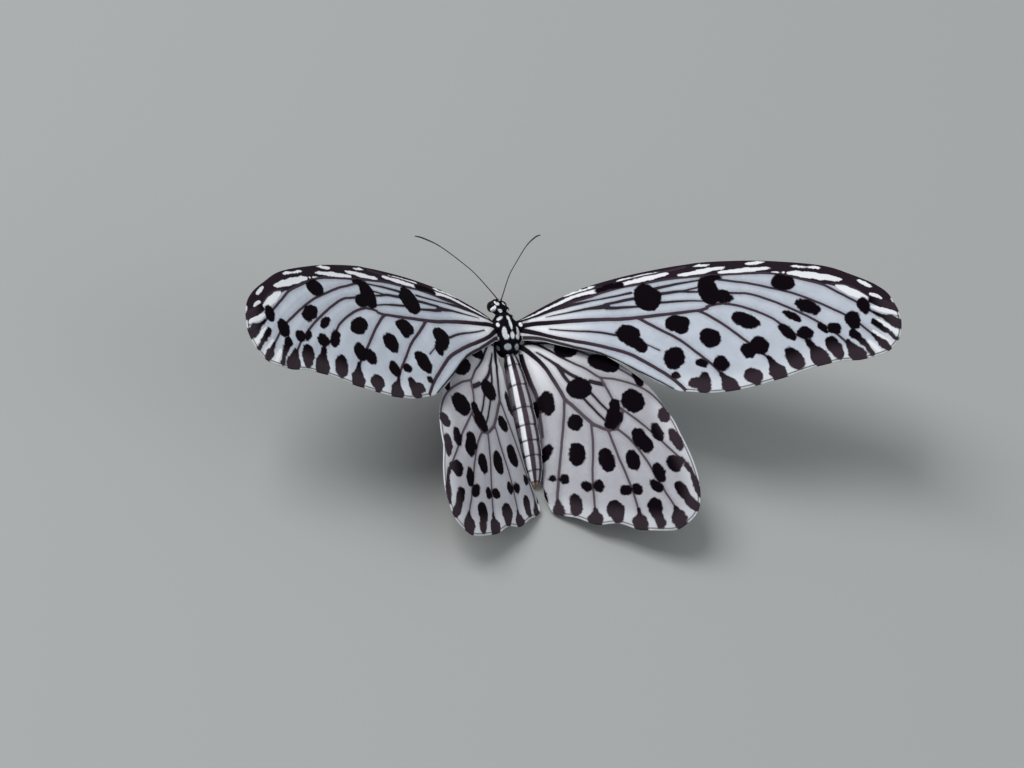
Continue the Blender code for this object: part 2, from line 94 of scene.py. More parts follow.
for light_name, place, size, power in (("window light", (1.1, -0.6, 1.3), 0.9, 24.0),
                                       ("fill light", (-1.2, 0.7, 0.9), 1.4, 3.0)):
    light = bpy.data.lights.new(light_name, "AREA")
    light.size = size
    light.energy = power
    lamp = bpy.data.objects.new(light_name, light)
    lamp.location = place
    lamp.rotation_euler = Vector(place).to_track_quat("Z", "Y").to_euler()
    bpy.context.scene.collection.objects.link(lamp)
room = bpy.data.worlds.new("room")
room.use_nodes = True
room.node_tree.nodes["Background"].inputs["Color"].default_value = (0.86, 0.9, 0.95, 1)
room.node_tree.nodes["Background"].inputs["Strength"].default_value = 0.42
bpy.context.scene.world = room
bpy.context.scene.view_settings.view_transform = "Standard"


# Trunk skin. Head, collar, thorax and abdomen are one hide of hard plates under fine scales,
# black with white spots in front and grey with white bands behind. It is one skin lofted along
# the body, with the plates raised in it, and it stands for all four trunk nodes.
SKIN_SUNK = 0.04
TRUNK = [  # behind the thorax's middle, half width, half height, middle height
    (-6.95, 0.12, 0.12, -0.75), (-6.85, 0.5, 0.55, -0.72), (-6.6, 0.86, 0.92, -0.6),
    (-6.2, 1.12, 1.14, -0.47), (-5.6, 1.32, 1.3, -0.45), (-5.0, 1.56, 1.4, -0.2),
    (-4.5, 1.68, 1.44, 0.08), (-4.15, 1.4, 1.32, 0.3), (-3.9, 1.2, 1.2, 0.38), (-3.7, 1.12, 1.12, 0.4),
    (-3.45, 1.35, 1.28, 0.42), (-3.0, 1.72, 1.53, 0.42), (-2.6, 2.02, 1.73, 0.4),
    (-2.3, 2.18, 1.9, 0.38), (-1.6, 2.42, 2.18, 0.36), (-0.8, 2.6, 2.38, 0.3), (0.5, 2.77, 2.5, 0.22),
    (2.0, 2.58, 2.33, 0.06), (3.2, 2.15, 1.93, 0.0), (4.1, 1.72, 1.6, 0.1), (4.6, 1.05, 1.15, 0.25)]
ABDOMEN_JOINTS = [4.73, 6.7, 10.8, 15.3, 18.7, 21.7, 24.5, 27.2, 29.2]
ABDOMEN_HALF_WIDTHS = [1.1, 1.5, 1.85, 2.0, 2.05, 2.05, 1.95, 1.65, 1.05]
ABDOMEN_FRONT, ABDOMEN_BACK = 4.73, 30.2
ABDOMEN_TIP_RUN, ABDOMEN_TIP_HALF_WIDTHS = 0.35, (0.72, 0.12)
ABDOMEN_LEVEL, ABDOMEN_ARCH, ABDOMEN_DROOP = 0.25, 0.9, 0.45
ABDOMEN_TALLER = 1.06
TRUNK_SQUARENESS = 2.2
RING_STEP, RING_SIDES = 0.1, 96
# raised plates: behind, degrees from the top, half length, half width, height
PLATES = [(-1.0, 60, 0.75, 0.6, 0.4), (1.5, 62, 0.45, 0.45, 0.45), (-4.78, 80, 0.42, 0.95, 0.26),
          (-2.75, 34, 0.4, 0.75, 0.18), (2.75, 0, 0.75, 1.1, 0.14), (3.4, 26, 0.5, 0.7, 0.1),
          (-0.4, 0, 2.2, 0.16, -0.08), (-5.0, 0, 1.2, 0.3, -0.06)]


def abdomen_shape(behind):
    """Half width and middle height of the abdomen, with each ring like a sleeve over the next."""
    places = [*ABDOMEN_JOINTS, ABDOMEN_BACK - ABDOMEN_TIP_RUN, ABDOMEN_BACK]
    wide = np.interp(behind, places, [*ABDOMEN_HALF_WIDTHS, *ABDOMEN_TIP_HALF_WIDTHS])
    ring = np.searchsorted(ABDOMEN_JOINTS, behind, side="right") - 1
    ring = np.clip(ring, 0, len(ABDOMEN_JOINTS) - 2)
    start, stop = np.array(ABDOMEN_JOINTS)[ring], np.array(ABDOMEN_JOINTS)[ring + 1]
    along = np.clip((behind - start) / (stop - start), 0.0, 1.0)
    sleeve = np.interp(along, [0.0, 0.03, 0.15, 0.5, 0.9, 0.97, 1.0],
                       [0.92, 0.96, 0.985, 1.03, 1.035, 1.0, 0.93])
    t = (behind - ABDOMEN_FRONT) / (ABDOMEN_BACK - ABDOMEN_FRONT)
    arch = np.sin(math.pi * np.minimum(1.0, 0.05 + 0.9 * t))
    return wide * sleeve, ABDOMEN_LEVEL + ABDOMEN_ARCH * arch - ABDOMEN_DROOP * t


def smooth_between(a, b, c, d, t):
    """A place from b to c on the smooth curve through four points in a row."""
    return 0.5 * (2 * b + (c - a) * t + (2 * a - 5 * b + 4 * c - d) * t ** 2
                  + (3 * b - a - 3 * c + d) * t ** 3)


def trunk_shape(behind):
    """Half width, half height and middle height of the whole trunk."""
    keys = np.array(TRUNK)
    steps = np.arange(len(keys))
    near = np.interp(behind, keys[:, 0], steps)
    before = np.clip(np.floor(near).astype(int), 0, len(keys) - 2)
    t = (near - before)[:, None]
    smooth = smooth_between(keys[np.maximum(before - 1, 0)], keys[before], keys[before + 1],
                            keys[np.minimum(before + 2, len(keys) - 1)], t)
    wide, middle = abdomen_shape(behind)
    is_abdomen = behind > ABDOMEN_FRONT
    return (np.where(is_abdomen, wide, smooth[:, 1]),
            np.where(is_abdomen, wide * ABDOMEN_TALLER, smooth[:, 2]),
            np.where(is_abdomen, middle, smooth[:, 3]))


def trunk_surface(behind, around):
    """Points of the skin in body millimetres; around is degrees from the top, left positive."""
    wide, high, middle = trunk_shape(behind)
    angle = np.radians(around)
    across, up = np.sin(angle), np.cos(angle)
    x = wide * np.sign(across) * np.abs(across) ** (2 / TRUNK_SQUARENESS)
    z = high * np.sign(up) * np.abs(up) ** (2 / TRUNK_SQUARENESS)
    lift = np.zeros_like(behind)
    for plate_behind, plate_around, half_length, half_width, height in PLATES:
        for side in ((1, -1) if plate_around else (1,)):
            aside = np.radians(around - side * plate_around) * (wide + high) / 2
            away = ((behind - plate_behind) / half_length) ** 2 + (aside / half_width) ** 2
            lift = lift + height * np.exp(-away ** 1.5)
    lift = lift - SKIN_SUNK
    return np.stack([x + lift * across, behind, z + lift * up + middle], axis=-1)


# white marks: behind, degrees from the top, half length, half width, tilt in degrees
WHITE_MARKS = [
    (-5.6, 30, 0.37, 0.37, 0), (-6.0, 52, 0.26, 0.28, 0), (-6.4, 0, 0.13, 0.18, 0),
    (-4.05, 38, 0.37, 0.37, 0), (-4.95, 70, 0.5, 0.62, 0), (-4.72, 90, 0.46, 0.9, 0),
    (-3.42, 112, 0.22, 0.25, 0), (-2.39, 47, 0.36, 0.66, 15), (-1.0, 59, 0.4, 0.42, 0),
    (-2.35, 0, 0.5, 0.26, 0), (-0.95, 0, 1.0, 0.26, 0), (1.15, 0, 0.65, 0.36, 0),
    (0.55, 31, 1.15, 0.5, 0), (1.35, 24, 0.45, 0.5, 0), (1.45, 64, 0.34, 0.36, 0),
    (3.15, 27, 0.58, 0.68, 0), (-1.4, 105, 0.45, 0.4, 0), (1.2, 108, 0.6, 0.45, 0),
    (-2.4, 118, 0.3, 0.4, 0), (2.9, 85, 0.45, 0.45, 0), (0.4, 145, 0.7, 0.45, 0)]
# degrees from the top: the pale line, and the middle and half width of the dark and white stripes
BACK_LINE, DARK_STRIPE, WHITE_BAND, FLANK_LINE, BELLY_LINE = 8.5, (24.0, 13.0), (54.0, 14.0), 80.0, 120.0
# behind the thorax's middle: where the banded hide, the dull marks and the amber tip start, and
# where the dark front of the abdomen ends
BANDS_START, DULL_START, AMBER_START, DARK_FRONT_END = 4.3, 2.4, 29.35, 7.6
JOINT_HALF, FLANK_SPOT_HALF, FLANK_SPOT_STRETCH, FLANK_SPOT_AHEAD = 0.14, 0.42, 1.3, 0.35


def soft_union(amounts, softness):
    """Signed distances of many marks made one, rounded where they meet."""
    amounts = np.array(amounts)
    top = amounts.max(axis=0)
    return top + softness * np.log(np.exp((amounts - top) / softness).sum(axis=0))


def cos_sin(degrees):
    return math.cos(math.radians(degrees)), math.sin(math.radians(degrees))


def trunk_marks(behind, around):
    """How far a skin point lies inside each kind of mark, in millimetres."""
    wide, high, _ = trunk_shape(behind)
    radius = (wide + high) / 2
    white = []
    for mark_behind, mark_around, half_length, half_width, tilt in WHITE_MARKS:
        along = behind - mark_behind
        aside = np.radians(np.abs(around) - mark_around) * radius
        c, s = cos_sin(tilt)
        reach = np.hypot((along * c - aside * s) / half_length, (along * s + aside * c) / half_width)
        white.append((1.0 - reach) * min(half_length, half_width))
    turned = np.abs(around)
    banded = np.clip((behind - BANDS_START) / 0.3, 0, 1) * 3.0 - 1.5
    line = np.minimum(np.radians(BACK_LINE - turned) * radius, banded)
    stripe = np.minimum(np.radians(DARK_STRIPE[1] - np.abs(turned - DARK_STRIPE[0])) * radius, banded)
    band = np.minimum(np.radians(WHITE_BAND[1] - np.abs(turned - WHITE_BAND[0])) * radius, banded)
    joint = np.full_like(behind, 9.0)
    for place in ABDOMEN_JOINTS:
        joint = np.minimum(joint, np.abs(behind - place))
    flank_spot = np.full_like(behind, -9.0)
    for place in ABDOMEN_JOINTS[1:]:
        aside = np.radians(turned - FLANK_LINE) * radius
        away = np.hypot((behind - place + FLANK_SPOT_AHEAD) / FLANK_SPOT_STRETCH, aside)
        flank_spot = np.maximum(flank_spot, FLANK_SPOT_HALF - away)
    return {"white": soft_union(white, 0.06), "line": line, "stripe": stripe, "band": band,
            "ring": np.minimum(JOINT_HALF - joint, banded), "flank_spot": flank_spot,
            "dark_front": DARK_FRONT_END - behind, "dull": behind - DULL_START, "banded": banded,
            "amber": behind - AMBER_START, "low": np.radians(turned - BELLY_LINE) * radius}


def new_mesh_object(name, points, faces, material, marks=None):
    """A smooth object in metres, flat where it meets the floor, with a number a point for each mark."""
    points = np.array(points)
    points[:, 2] = np.maximum(points[:, 2], 0.0)
    data = bpy.data.meshes.new(name)
    data.from_pydata(points.tolist(), [], faces)
    data.shade_smooth()
    data.materials.append(material)
    for mark, amounts in (marks or {}).items():
        layer = data.attributes.new(mark, "FLOAT", "POINT")
        layer.data.foreach_set("value", np.ascontiguousarray(amounts, dtype=np.float32))
    item = bpy.data.objects.new(name, data)
    bpy.context.scene.collection.objects.link(item)
    return item


def tube_faces(rings, sides):
    """Faces of a tube made of rings of points, closed at both ends."""
    faces = []
    for ring in range(rings - 1):
        for k in range(sides):
            j = (k + 1) % sides
            faces.append((ring * sides + k, ring * sides + j,
                          (ring + 1) * sides + j, (ring + 1) * sides + k))
    faces.append(tuple(range(sides))[::-1])
    faces.append(tuple(range((rings - 1) * sides, rings * sides)))
    return faces


def new_finish(name, roughness, specular=0.5):
    material = bpy.data.materials.new(name)
    material.use_nodes = True
    shader = material.node_tree.nodes["Principled BSDF"]
    shader.inputs["Roughness"].default_value = roughness
    shader.inputs["Specular IOR Level"].default_value = specular
    return material, material.node_tree, shader


def grain_of(tree, per_mm):
    """Noise fixed to the animal, per_mm lumps in a millimetre."""
    noise = tree.nodes.new("ShaderNodeTexNoise")
    noise.inputs["Scale"].default_value = per_mm / MM
    noise.inputs["Detail"].default_value = 3.0
    tree.links.new(tree.nodes.new("ShaderNodeTexCoord").outputs["Object"], noise.inputs["Vector"])
    return noise.outputs["Fac"]


def inside(tree, mark, soft, ragged, grain, reach=0.0, share=1.0):
    """The share inside a mark and 0 outside it, with an edge as ragged as the scales there."""
    reading = tree.nodes.new("ShaderNodeAttribute")
    reading.attribute_name = mark
    torn = tree.nodes.new("ShaderNodeMath")
    torn.operation = "MULTIPLY_ADD"
    torn.inputs[1].default_value = ragged
    tree.links.new(grain, torn.inputs[0])
    tree.links.new(reading.outputs["Fac"], torn.inputs[2])
    step = tree.nodes.new("ShaderNodeMapRange")
    step.interpolation_type = "SMOOTHSTEP"
    step.inputs["From Min"].default_value = ragged / 2 - soft - reach
    step.inputs["From Max"].default_value = ragged / 2 + soft - reach
    step.inputs["To Max"].default_value = share
    tree.links.new(torn.outputs[0], step.inputs["Value"])
    return step.outputs["Result"]


def paint(tree, under, over, amount):
    """One colour laid over another by an amount; each may be a plain colour or a socket."""
    mix = tree.nodes.new("ShaderNodeMix")
    mix.data_type = "RGBA"
    for value, socket in ((amount, mix.inputs[0]), (under, mix.inputs[6]), (over, mix.inputs[7])):
        if isinstance(value, bpy.types.NodeSocket):
            tree.links.new(value, socket)
        elif isinstance(value, tuple):
            socket.default_value = (*value, 1.0)
        else:
            socket.default_value = value
    return mix.outputs[2]


def lay_marks(tree, colour, layers):
    """Marks laid over a colour in turn: colour, mark, softness, raggedness, grain, reach and share."""
    for over, *mark in layers:
        colour = paint(tree, colour, over, inside(tree, *mark))
    return colour


def part_of(tree, amount, share):
    """A grain made weaker, so that the ground shows."""
    scale = tree.nodes.new("ShaderNodeMath")
    scale.operation = "MULTIPLY"
    scale.inputs[1].default_value = share
    tree.links.new(amount, scale.inputs[0])
    return scale.outputs[0]


def emboss(tree, shader, height, strength, depth_mm):
    """A height made visible as a fine relief."""
    bump = tree.nodes.new("ShaderNodeBump")
    bump.inputs["Strength"].default_value = strength
    bump.inputs["Distance"].default_value = depth_mm * MM
    tree.links.new(height, bump.inputs["Height"])
    tree.links.new(bump.outputs["Normal"], shader.inputs["Normal"])


SCALE_BLACK, SCALE_WHITE = (0.006, 0.004, 0.008), (0.92, 0.94, 0.97)
FLANK_GREY, PURPLE_GREY, JOINT_DARK = (0.3, 0.27, 0.3), (0.06, 0.04, 0.055), (0.04, 0.028, 0.038)
BELLY_PALE, LINE_GREY = (0.5, 0.49, 0.48), (0.5, 0.51, 0.53)
AMBER, BLUISH = (0.3, 0.16, 0.07), (0.42, 0.48, 0.54)


def trunk_finish(name, roughness):
    """Black front with white marks, grey back part with its bands, stripe, joints and tip."""
    material, tree, shader = new_finish(name, roughness, 0.08)
    coarse = grain_of(tree, 2.2)
    fine = grain_of(tree, 9.0)
    banded = lay_marks(tree, paint(tree, FLANK_GREY, PURPLE_GREY, part_of(tree, coarse, 0.5)), [
        (BELLY_PALE, "low", 0.6, 0.5, coarse, 0.0, 0.7),
        (PURPLE_GREY, "flank_spot", 0.12, 0.3, fine, 0.0, 0.85),
        (PURPLE_GREY, "stripe", 0.1, 0.24, fine, 0.0, 0.95),
        (SCALE_BLACK, "dark_front", 1.0, 0.6, coarse, 0.0, 0.85),
        (SCALE_WHITE, "band", 0.1, 0.2, fine),
        (LINE_GREY, "line", 0.08, 0.24, fine, 0.0, 0.85),
        (JOINT_DARK, "ring", 0.08, 0.18, coarse, 0.0, 0.75),
        (AMBER, "amber", 0.3, 0.4, coarse, 0.0, 0.8)])
    white = paint(tree, SCALE_WHITE, BLUISH, part_of(tree, coarse, 0.2))
    white = lay_marks(tree, white, [(BLUISH, "dull", 0.2, 0.2, coarse, 0.0, 0.85)])
    colour = lay_marks(tree, SCALE_BLACK, [
        (banded, "banded", 0.4, 0.2, coarse), (white, "white", 0.05, 0.14, fine)])
    tree.links.new(colour, shader.inputs["Base Color"])
    emboss(tree, shader, fine, 0.5, 0.05)
    return material


ring_count = int((ABDOMEN_BACK - TRUNK[0][0]) / RING_STEP) + 1
ring_places = np.linspace(TRUNK[0][0], ABDOMEN_BACK, ring_count)
ring_angles = (np.arange(RING_SIDES) / RING_SIDES * 360.0) - 180.0
skin_behind, skin_around = np.meshgrid(ring_places, ring_angles, indexing="ij")
skin_behind, skin_around = skin_behind.ravel(), skin_around.ravel()
skin_faces = tube_faces(ring_count, RING_SIDES)
skin = new_mesh_object("trunk_skin", stand(trunk_surface(skin_behind, skin_around)), skin_faces,
                       trunk_finish("trunk scales", 0.55), trunk_marks(skin_behind, skin_around))


BAKE_RIM, BAKE_PATCH = 0.01, 0.0015


def unwrap(behind, around):
    """The skin cut along the belly and laid flat, as (across, along) from 0 to 1."""
    across = (np.asarray(around) + 180.0) / 360.0
    along = (np.asarray(behind) - TRUNK[0][0]) / (ABDOMEN_BACK - TRUNK[0][0])
    return BAKE_RIM + (1.0 - 2 * BAKE_RIM) * np.stack([across, along], axis=-1)


def add_bake_map(item, corner_places):
    layer = item.data.uv_layers.new(name="OFBake")
    layer.data.foreach_set("uv", np.ascontiguousarray(corner_places, dtype=np.float32).ravel())


corner_points = np.empty(len(skin.data.loops), dtype=np.int32)
skin.data.loops.foreach_get("vertex_index", corner_points)
corner_faces = np.repeat(np.arange(len(skin.data.polygons)), [len(face) for face in skin_faces])
corner_around = skin_around[corner_points]
is_seam = (corner_faces % RING_SIDES == RING_SIDES - 1) & (corner_points % RING_SIDES == 0)
corner_around = np.where(is_seam, 180.0, corner_around)
add_bake_map(skin, unwrap(skin_behind[corner_points], corner_around))
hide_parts("head", "collar", "thorax", "abdomen")
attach(skin, "root")

# Coat. Fine hair-like scales stand a little off the head and thorax and lie flat along the
# abdomen. Each is a thin three-sided spike that bends backwards, with its root in the skin.
COAT = [  # from, to, tufts, length, stand-off, width, pieces' name
    (-6.85, -3.4, 5000, 0.24, 0.2, 0.04, "head_coat"),
    (-3.3, 4.4, 16000, 0.32, 0.15, 0.045, "thorax_coat"),
    (4.5, 29.6, 12000, 0.3, 0.1, 0.05, "abdomen_coat")]
EYE_PLACE, EYE_SIZE = (1.22, -5.48, -0.68), (0.72, 1.05, 1.08)
BARE_ROUND_EYE = 1.3
TUFT_SIZES, TUFT_RISES, TUFT_SIDEWAYS = (0.6, 1.25), (0.5, 1.4), 0.35
TUFT_POINTS, TUFT_BEND = 7, 0.45
coat_finish = trunk_finish("hair scales", 0.6)
for start, stop, tufts, length, stand_off, width, coat_name in COAT:
    draw = random.Random(len(coat_name) * 17)
    coat_points = []
    coat_faces = []
    root_behind = []
    root_around = []
    while len(root_behind) < tufts:
        behind = draw.uniform(start, stop)
        around = draw.uniform(-180.0, 180.0)
        root, ahead, beside = trunk_surface(np.array([behind, behind + 0.05, behind]),
                                            np.array([around, around, around + 2.0]))
        if math.dist(root, (math.copysign(EYE_PLACE[0], root[0]), *EYE_PLACE[1:])) < BARE_ROUND_EYE:
            continue
        back = (ahead - root) / np.linalg.norm(ahead - root)
        out = np.cross(beside - root, back)
        out = out / np.linalg.norm(out)
        side_way = np.cross(back, out)
        back = back + side_way * draw.uniform(-TUFT_SIDEWAYS, TUFT_SIDEWAYS)
        size = length * draw.uniform(*TUFT_SIZES)
        rise = stand_off * draw.uniform(*TUFT_RISES)
        first = len(coat_points)
        for t, thick, corners in ((-0.12, 1.0, (0, 120, 240)), (0.5, 0.75, (0, 120, 240)), (1.0, 0.0, (0,))):
            middle = root + size * (t * back + rise * (t - TUFT_BEND * t * t) * out)
            for corner in corners:
                c, s = cos_sin(corner)
                coat_points.append(middle + width / 2 * thick * (c * side_way + s * out))
        coat_faces.append((first, first + 2, first + 1))
        for k in range(3):
            j = (k + 1) % 3
            coat_faces.append((first + k, first + j, first + 3 + j, first + 3 + k))
            coat_faces.append((first + 3 + k, first + 3 + j, first + 6))
        root_behind.append(behind)
        root_around.append(around)
    spots = trunk_marks(np.array(root_behind), np.array(root_around))
    coat = new_mesh_object(coat_name, stand(coat_points), coat_faces, coat_finish,
                           {mark: np.repeat(amounts, TUFT_POINTS) for mark, amounts in spots.items()})
    corners = np.empty(len(coat.data.loops), dtype=np.int32)
    coat.data.loops.foreach_get("vertex_index", corners)
    patch = np.array([(-1, -1), (1, -1), (0, 1), (-1, 0), (1, 0), (0, 1), (0, 0)]) * BAKE_PATCH
    centre = unwrap(np.array(root_behind), np.array(root_around))
    add_bake_map(coat, centre[corners // TUFT_POINTS] + patch[corners % TUFT_POINTS])
    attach(coat, "root")

# Eyes. Each is a bulging oval of tiny lenses, smooth and dark brown to black, set in the side
# of the head. It is a full ball sunk in the skin, with the lenses as a fine bump.
eye_finish, eye_tree, eye_shader = new_finish("eye lens", 0.22, 0.09)
LENSES_A_MM = 14
lens_cells = eye_tree.nodes.new("ShaderNodeTexVoronoi")
lens_cells.inputs["Scale"].default_value = LENSES_A_MM / MM
eye_tree.links.new(eye_tree.nodes.new("ShaderNodeTexCoord").outputs["Object"], lens_cells.inputs["Vector"])
eye_tree.links.new(paint(eye_tree, (0.005, 0.003, 0.003), (0.014, 0.007, 0.006),
                         part_of(eye_tree, grain_of(eye_tree, 1.2), 0.9)), eye_shader.inputs["Base Color"])
emboss(eye_tree, eye_shader, lens_cells.outputs["Distance"], 0.35, 0.02)


def ball_mesh(size, place, rings=40, sides=64):
    """Points and faces of an oval ball of three half sizes."""
    points = [(0.0, 0.0, 1.0)]
    for ring in range(1, rings):
        polar = math.pi * ring / rings
        for k in range(sides):
            turn = 2 * math.pi * k / sides
            points.append((math.sin(polar) * math.cos(turn), math.sin(polar) * math.sin(turn),
                           math.cos(polar)))
    points.append((0.0, 0.0, -1.0))
    last = len(points) - 1
    faces = []
    for k in range(sides):
        j = (k + 1) % sides
        faces.append((0, 1 + k, 1 + j))
        faces.append((last, last - sides + j, last - sides + k))
        for ring in range(rings - 2):
            row = 1 + ring * sides
            faces.append((row + k, row + sides + k, row + sides + j, row + j))
    return np.array(points) * size + place, faces


for side, word in SIDES:
    ball, ball_faces = ball_mesh(EYE_SIZE, (side * EYE_PLACE[0], *EYE_PLACE[1:]))
    eye = new_mesh_object("eye_ball_" + word, stand(ball), ball_faces, eye_finish)
    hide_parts("eye_" + word)
    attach(eye, "root")

# Wing-root covers. A small black lobe with a white spot lies over the front of each forewing's
# root, a loose flap of the thorax's hide. It hides the hinge where the blade meets the thorax.
COVER_PLACE, COVER_SIZE, COVER_SPOT = (2.5, -0.95, 1.72), (0.78, 1.0, 0.52), 0.42


def marked_black(name, roughness, specular, per_mm, mark, soft, ragged, bump, depth_mm):
    """Black scales with one white mark, embossed with their own grain."""
    material, tree, shader = new_finish(name, roughness, specular)
    fine = grain_of(tree, per_mm)
    tree.links.new(lay_marks(tree, SCALE_BLACK, [(SCALE_WHITE, mark, soft, ragged, fine)]),
                   shader.inputs["Base Color"])
    emboss(tree, shader, fine, bump, depth_mm)
    return material


cover_finish = marked_black("cover scales", 0.55, 0.08, 9.0, "pale_spot", 0.05, 0.12, 0.6, 0.06)
for side, word in SIDES:
    ball, ball_faces = ball_mesh(COVER_SIZE, (side * COVER_PLACE[0], *COVER_PLACE[1:]), 30, 48)
    top = np.array((side * COVER_PLACE[0], COVER_PLACE[1], COVER_PLACE[2] + COVER_SIZE[2]))
    cover = new_mesh_object("wing_root_cover_" + word, stand(ball), ball_faces, cover_finish,
                            {"pale_spot": COVER_SPOT - np.linalg.norm(ball - top, axis=1)})
    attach(cover, "root")

# Mouthparts. Two short hairy palps stand in front of the face, black with a white side, and
# the tongue is coiled like a watch spring below them. All are round rods of changing width.
PALP = [(0.42, -5.9, -1.75), (0.46, -6.4, -1.95), (0.46, -6.75, -1.78), (0.42, -6.9, -1.4)]
PALP_RADII = [0.2, 0.25, 0.22, 0.08]
PALP_WHITE_FROM = 0.54
COIL_MIDDLE, COIL_OUTER, COIL_INNER, COIL_TURNS, COIL_ROD = (0.0, -6.15, -2.75), 0.8, 0.25, 1.4, 0.18
COIL_STEPS, COIL_START, COIL_TAPER, COIL_RINGED = 150, math.radians(60), 0.35, 0.05


def smooth_way(points, spacing):
    """A smooth line through the points, with a stop about every spacing."""
    points = np.array(points, dtype=float)
    ends = np.vstack([2 * points[0] - points[1], points, 2 * points[-1] - points[-2]])
    way = []
    for a, b, c, d in zip(ends, ends[1:], ends[2:], ends[3:]):
        steps = max(2, round(np.linalg.norm((c - b)[:3]) / spacing))
        way += [smooth_between(a, b, c, d, t) for t in np.arange(steps) / steps]
    way.append(points[-1])
    return np.array(way)


def rod_mesh(way, sides):
    """Points and faces of a round rod along a way of (x, y, z, radius), closed at both ends."""
    places, radii = way[:, :3], way[:, 3]
    along = np.gradient(places, axis=0)
    along /= np.linalg.norm(along, axis=1)[:, None]
    normal = np.cross(along[0], (0.0, 0.0, 1.0) if abs(along[0][2]) < 0.9 else (1.0, 0.0, 0.0))
    turns = 2 * math.pi * np.arange(sides) / sides
    rings = []
    for place, way_on, radius in zip(places, along, radii):
        normal = normal - way_on * normal.dot(way_on)
        normal /= np.linalg.norm(normal)
        other = np.cross(way_on, normal)
        rings.append(place + radius * (np.cos(turns)[:, None] * normal + np.sin(turns)[:, None] * other))
    return np.vstack(rings), tube_faces(len(rings), sides)


def join_rods(rods):
    """Several rods as one list of points and faces."""
    points, faces = [], []
    for rod_points, rod_faces in rods:
        shift = sum(len(group) for group in points)
        points.append(rod_points)
        faces += [tuple(k + shift for k in face) for face in rod_faces]
    return np.vstack(points), faces


palp_finish = marked_black("palp scales", 0.6, 0.5, 7.0, "pale_side", 0.1, 0.3, 0.7, 0.08)
for side, word in SIDES:
    way = smooth_way([(side * x, y, z, r) for (x, y, z), r in zip(PALP, PALP_RADII)], 0.06)
    palp_points, palp_faces = rod_mesh(way, 18)
    palp = new_mesh_object("palp_" + word + "_scaled", stand(palp_points), palp_faces, palp_finish,
                           {"pale_side": side * palp_points[:, 0] - PALP_WHITE_FROM})
    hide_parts("palp_" + word)
    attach(palp, "root")

limb_finish, limb_tree, limb_shader = new_finish("limb hide", 0.45, 0.3)
limb_grain = part_of(limb_tree, grain_of(limb_tree, 2.5), 0.6)
limb_tree.links.new(paint(limb_tree, (0.014, 0.009, 0.008), (0.05, 0.036, 0.028), limb_grain),
                    limb_shader.inputs["Base Color"])
emboss(limb_tree, limb_shader, grain_of(limb_tree, 12.0), 0.5, 0.03)

coil_way = []
for step in range(COIL_STEPS + 1):
    t = step / COIL_STEPS
    turn = 2 * math.pi * COIL_TURNS * t + COIL_START
    radius = COIL_OUTER + (COIL_INNER - COIL_OUTER) * t
    ringed = COIL_ROD * (1.0 - COIL_TAPER * t) * (1.0 + COIL_RINGED * math.cos(2 * math.pi * step / 3))
    coil_way.append((COIL_MIDDLE[0], COIL_MIDDLE[1] + radius * math.cos(turn),
                     COIL_MIDDLE[2] + radius * math.sin(turn), ringed))
tongue_points, tongue_faces = rod_mesh(np.array(coil_way), 14)
tongue = new_mesh_object("coiled_tongue", stand(tongue_points), tongue_faces, limb_finish)
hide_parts("proboscis")
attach(tongue, "root")

# Feelers. Each is a thin jointed rod, dark brown, that thickens into a slim club at its tip. It
# rises from a round socket between the eyes. The joints show as fine rings.
FEELER = [(0.42, -6.1, 0.2), (0.52, -6.6, 0.65), (3.35, -11.0, 0.2), (5.4, -13.4, -0.1),
          (9.4, -17.4, -1.0), (12.3, -19.4, -1.8), (13.8, -20.0, -2.2)]
FEELER_RADII = [0.2, 0.12, 0.095, 0.09, 0.1, 0.15, 0.11]
FEELER_JOINT, FEELER_WAIST = 0.42, 0.16
for side, word in SIDES:
    way = smooth_way([(side * x, y, z, r) for (x, y, z), r in zip(FEELER, FEELER_RADII)], 0.07)
    gone = np.concatenate([[0.0], np.cumsum(np.linalg.norm(np.diff(way[:, :3], axis=0), axis=1))])
    way[:, 3] *= 1.0 - FEELER_WAIST * np.abs(np.cos(math.pi * gone / FEELER_JOINT)) ** 6
    feeler_points, feeler_faces = rod_mesh(way, 14)
    feeler = new_mesh_object("feeler_" + word, stand(feeler_points), feeler_faces, limb_finish)
    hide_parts("antenna_" + word)
    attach(feeler, "root")

# Legs. The animal stands on four long legs and holds its two small forelegs folded under the
# breast. Each leg is a chain of stiff hollow rods, with spines on the shin and a jointed foot
# that ends in two claws. Places are out, behind the thorax's middle and above the floor.
LEG_ROOTS = {"fore": (0.85, -1.5), "mid": (1.15, 0.1), "hind": (1.1, 2.3)}
LEG_WAYS = {
    "fore": [(1.2, -3.6, 6.0), (1.35, -4.9, 5.4), (1.25, -3.4, 4.9), (1.05, -2.2, 5.1)],
    "mid": [(2.6, -0.9, 5.7), (8.6, -3.6, 8.2), (12.8, -6.4, 1.2), (13.6, -7.0, 0.19),
            (17.2, -9.8, 0.15)],
    "hind": [(2.6, 2.9, 5.1), (7.6, 8.4, 7.2), (10.6, 15.2, 1.2), (11.0, 16.1, 0.19),
             (12.8, 20.6, 0.15)]}
SEGMENT_RADII = {"hip": (0.5, 0.42), "ring": (0.36, 0.34), "thigh": (0.36, 0.26), "shin": (0.22, 0.2),
                 "heel": (0.18, 0.17), "foot": (0.16, 0.13)}
FOOT_JOINTS = {"heel": 1, "foot": 4}
LEG_ROOT_DEPTH, FOLDED_SHARE, JOINT_LAP = 0.86, 0.75, 0.06
SPINES_A_SHIN, SPINE_OUT, SPINE_AHEAD, SPINE_RADIUS = 16, 0.325, 0.3575, 0.035
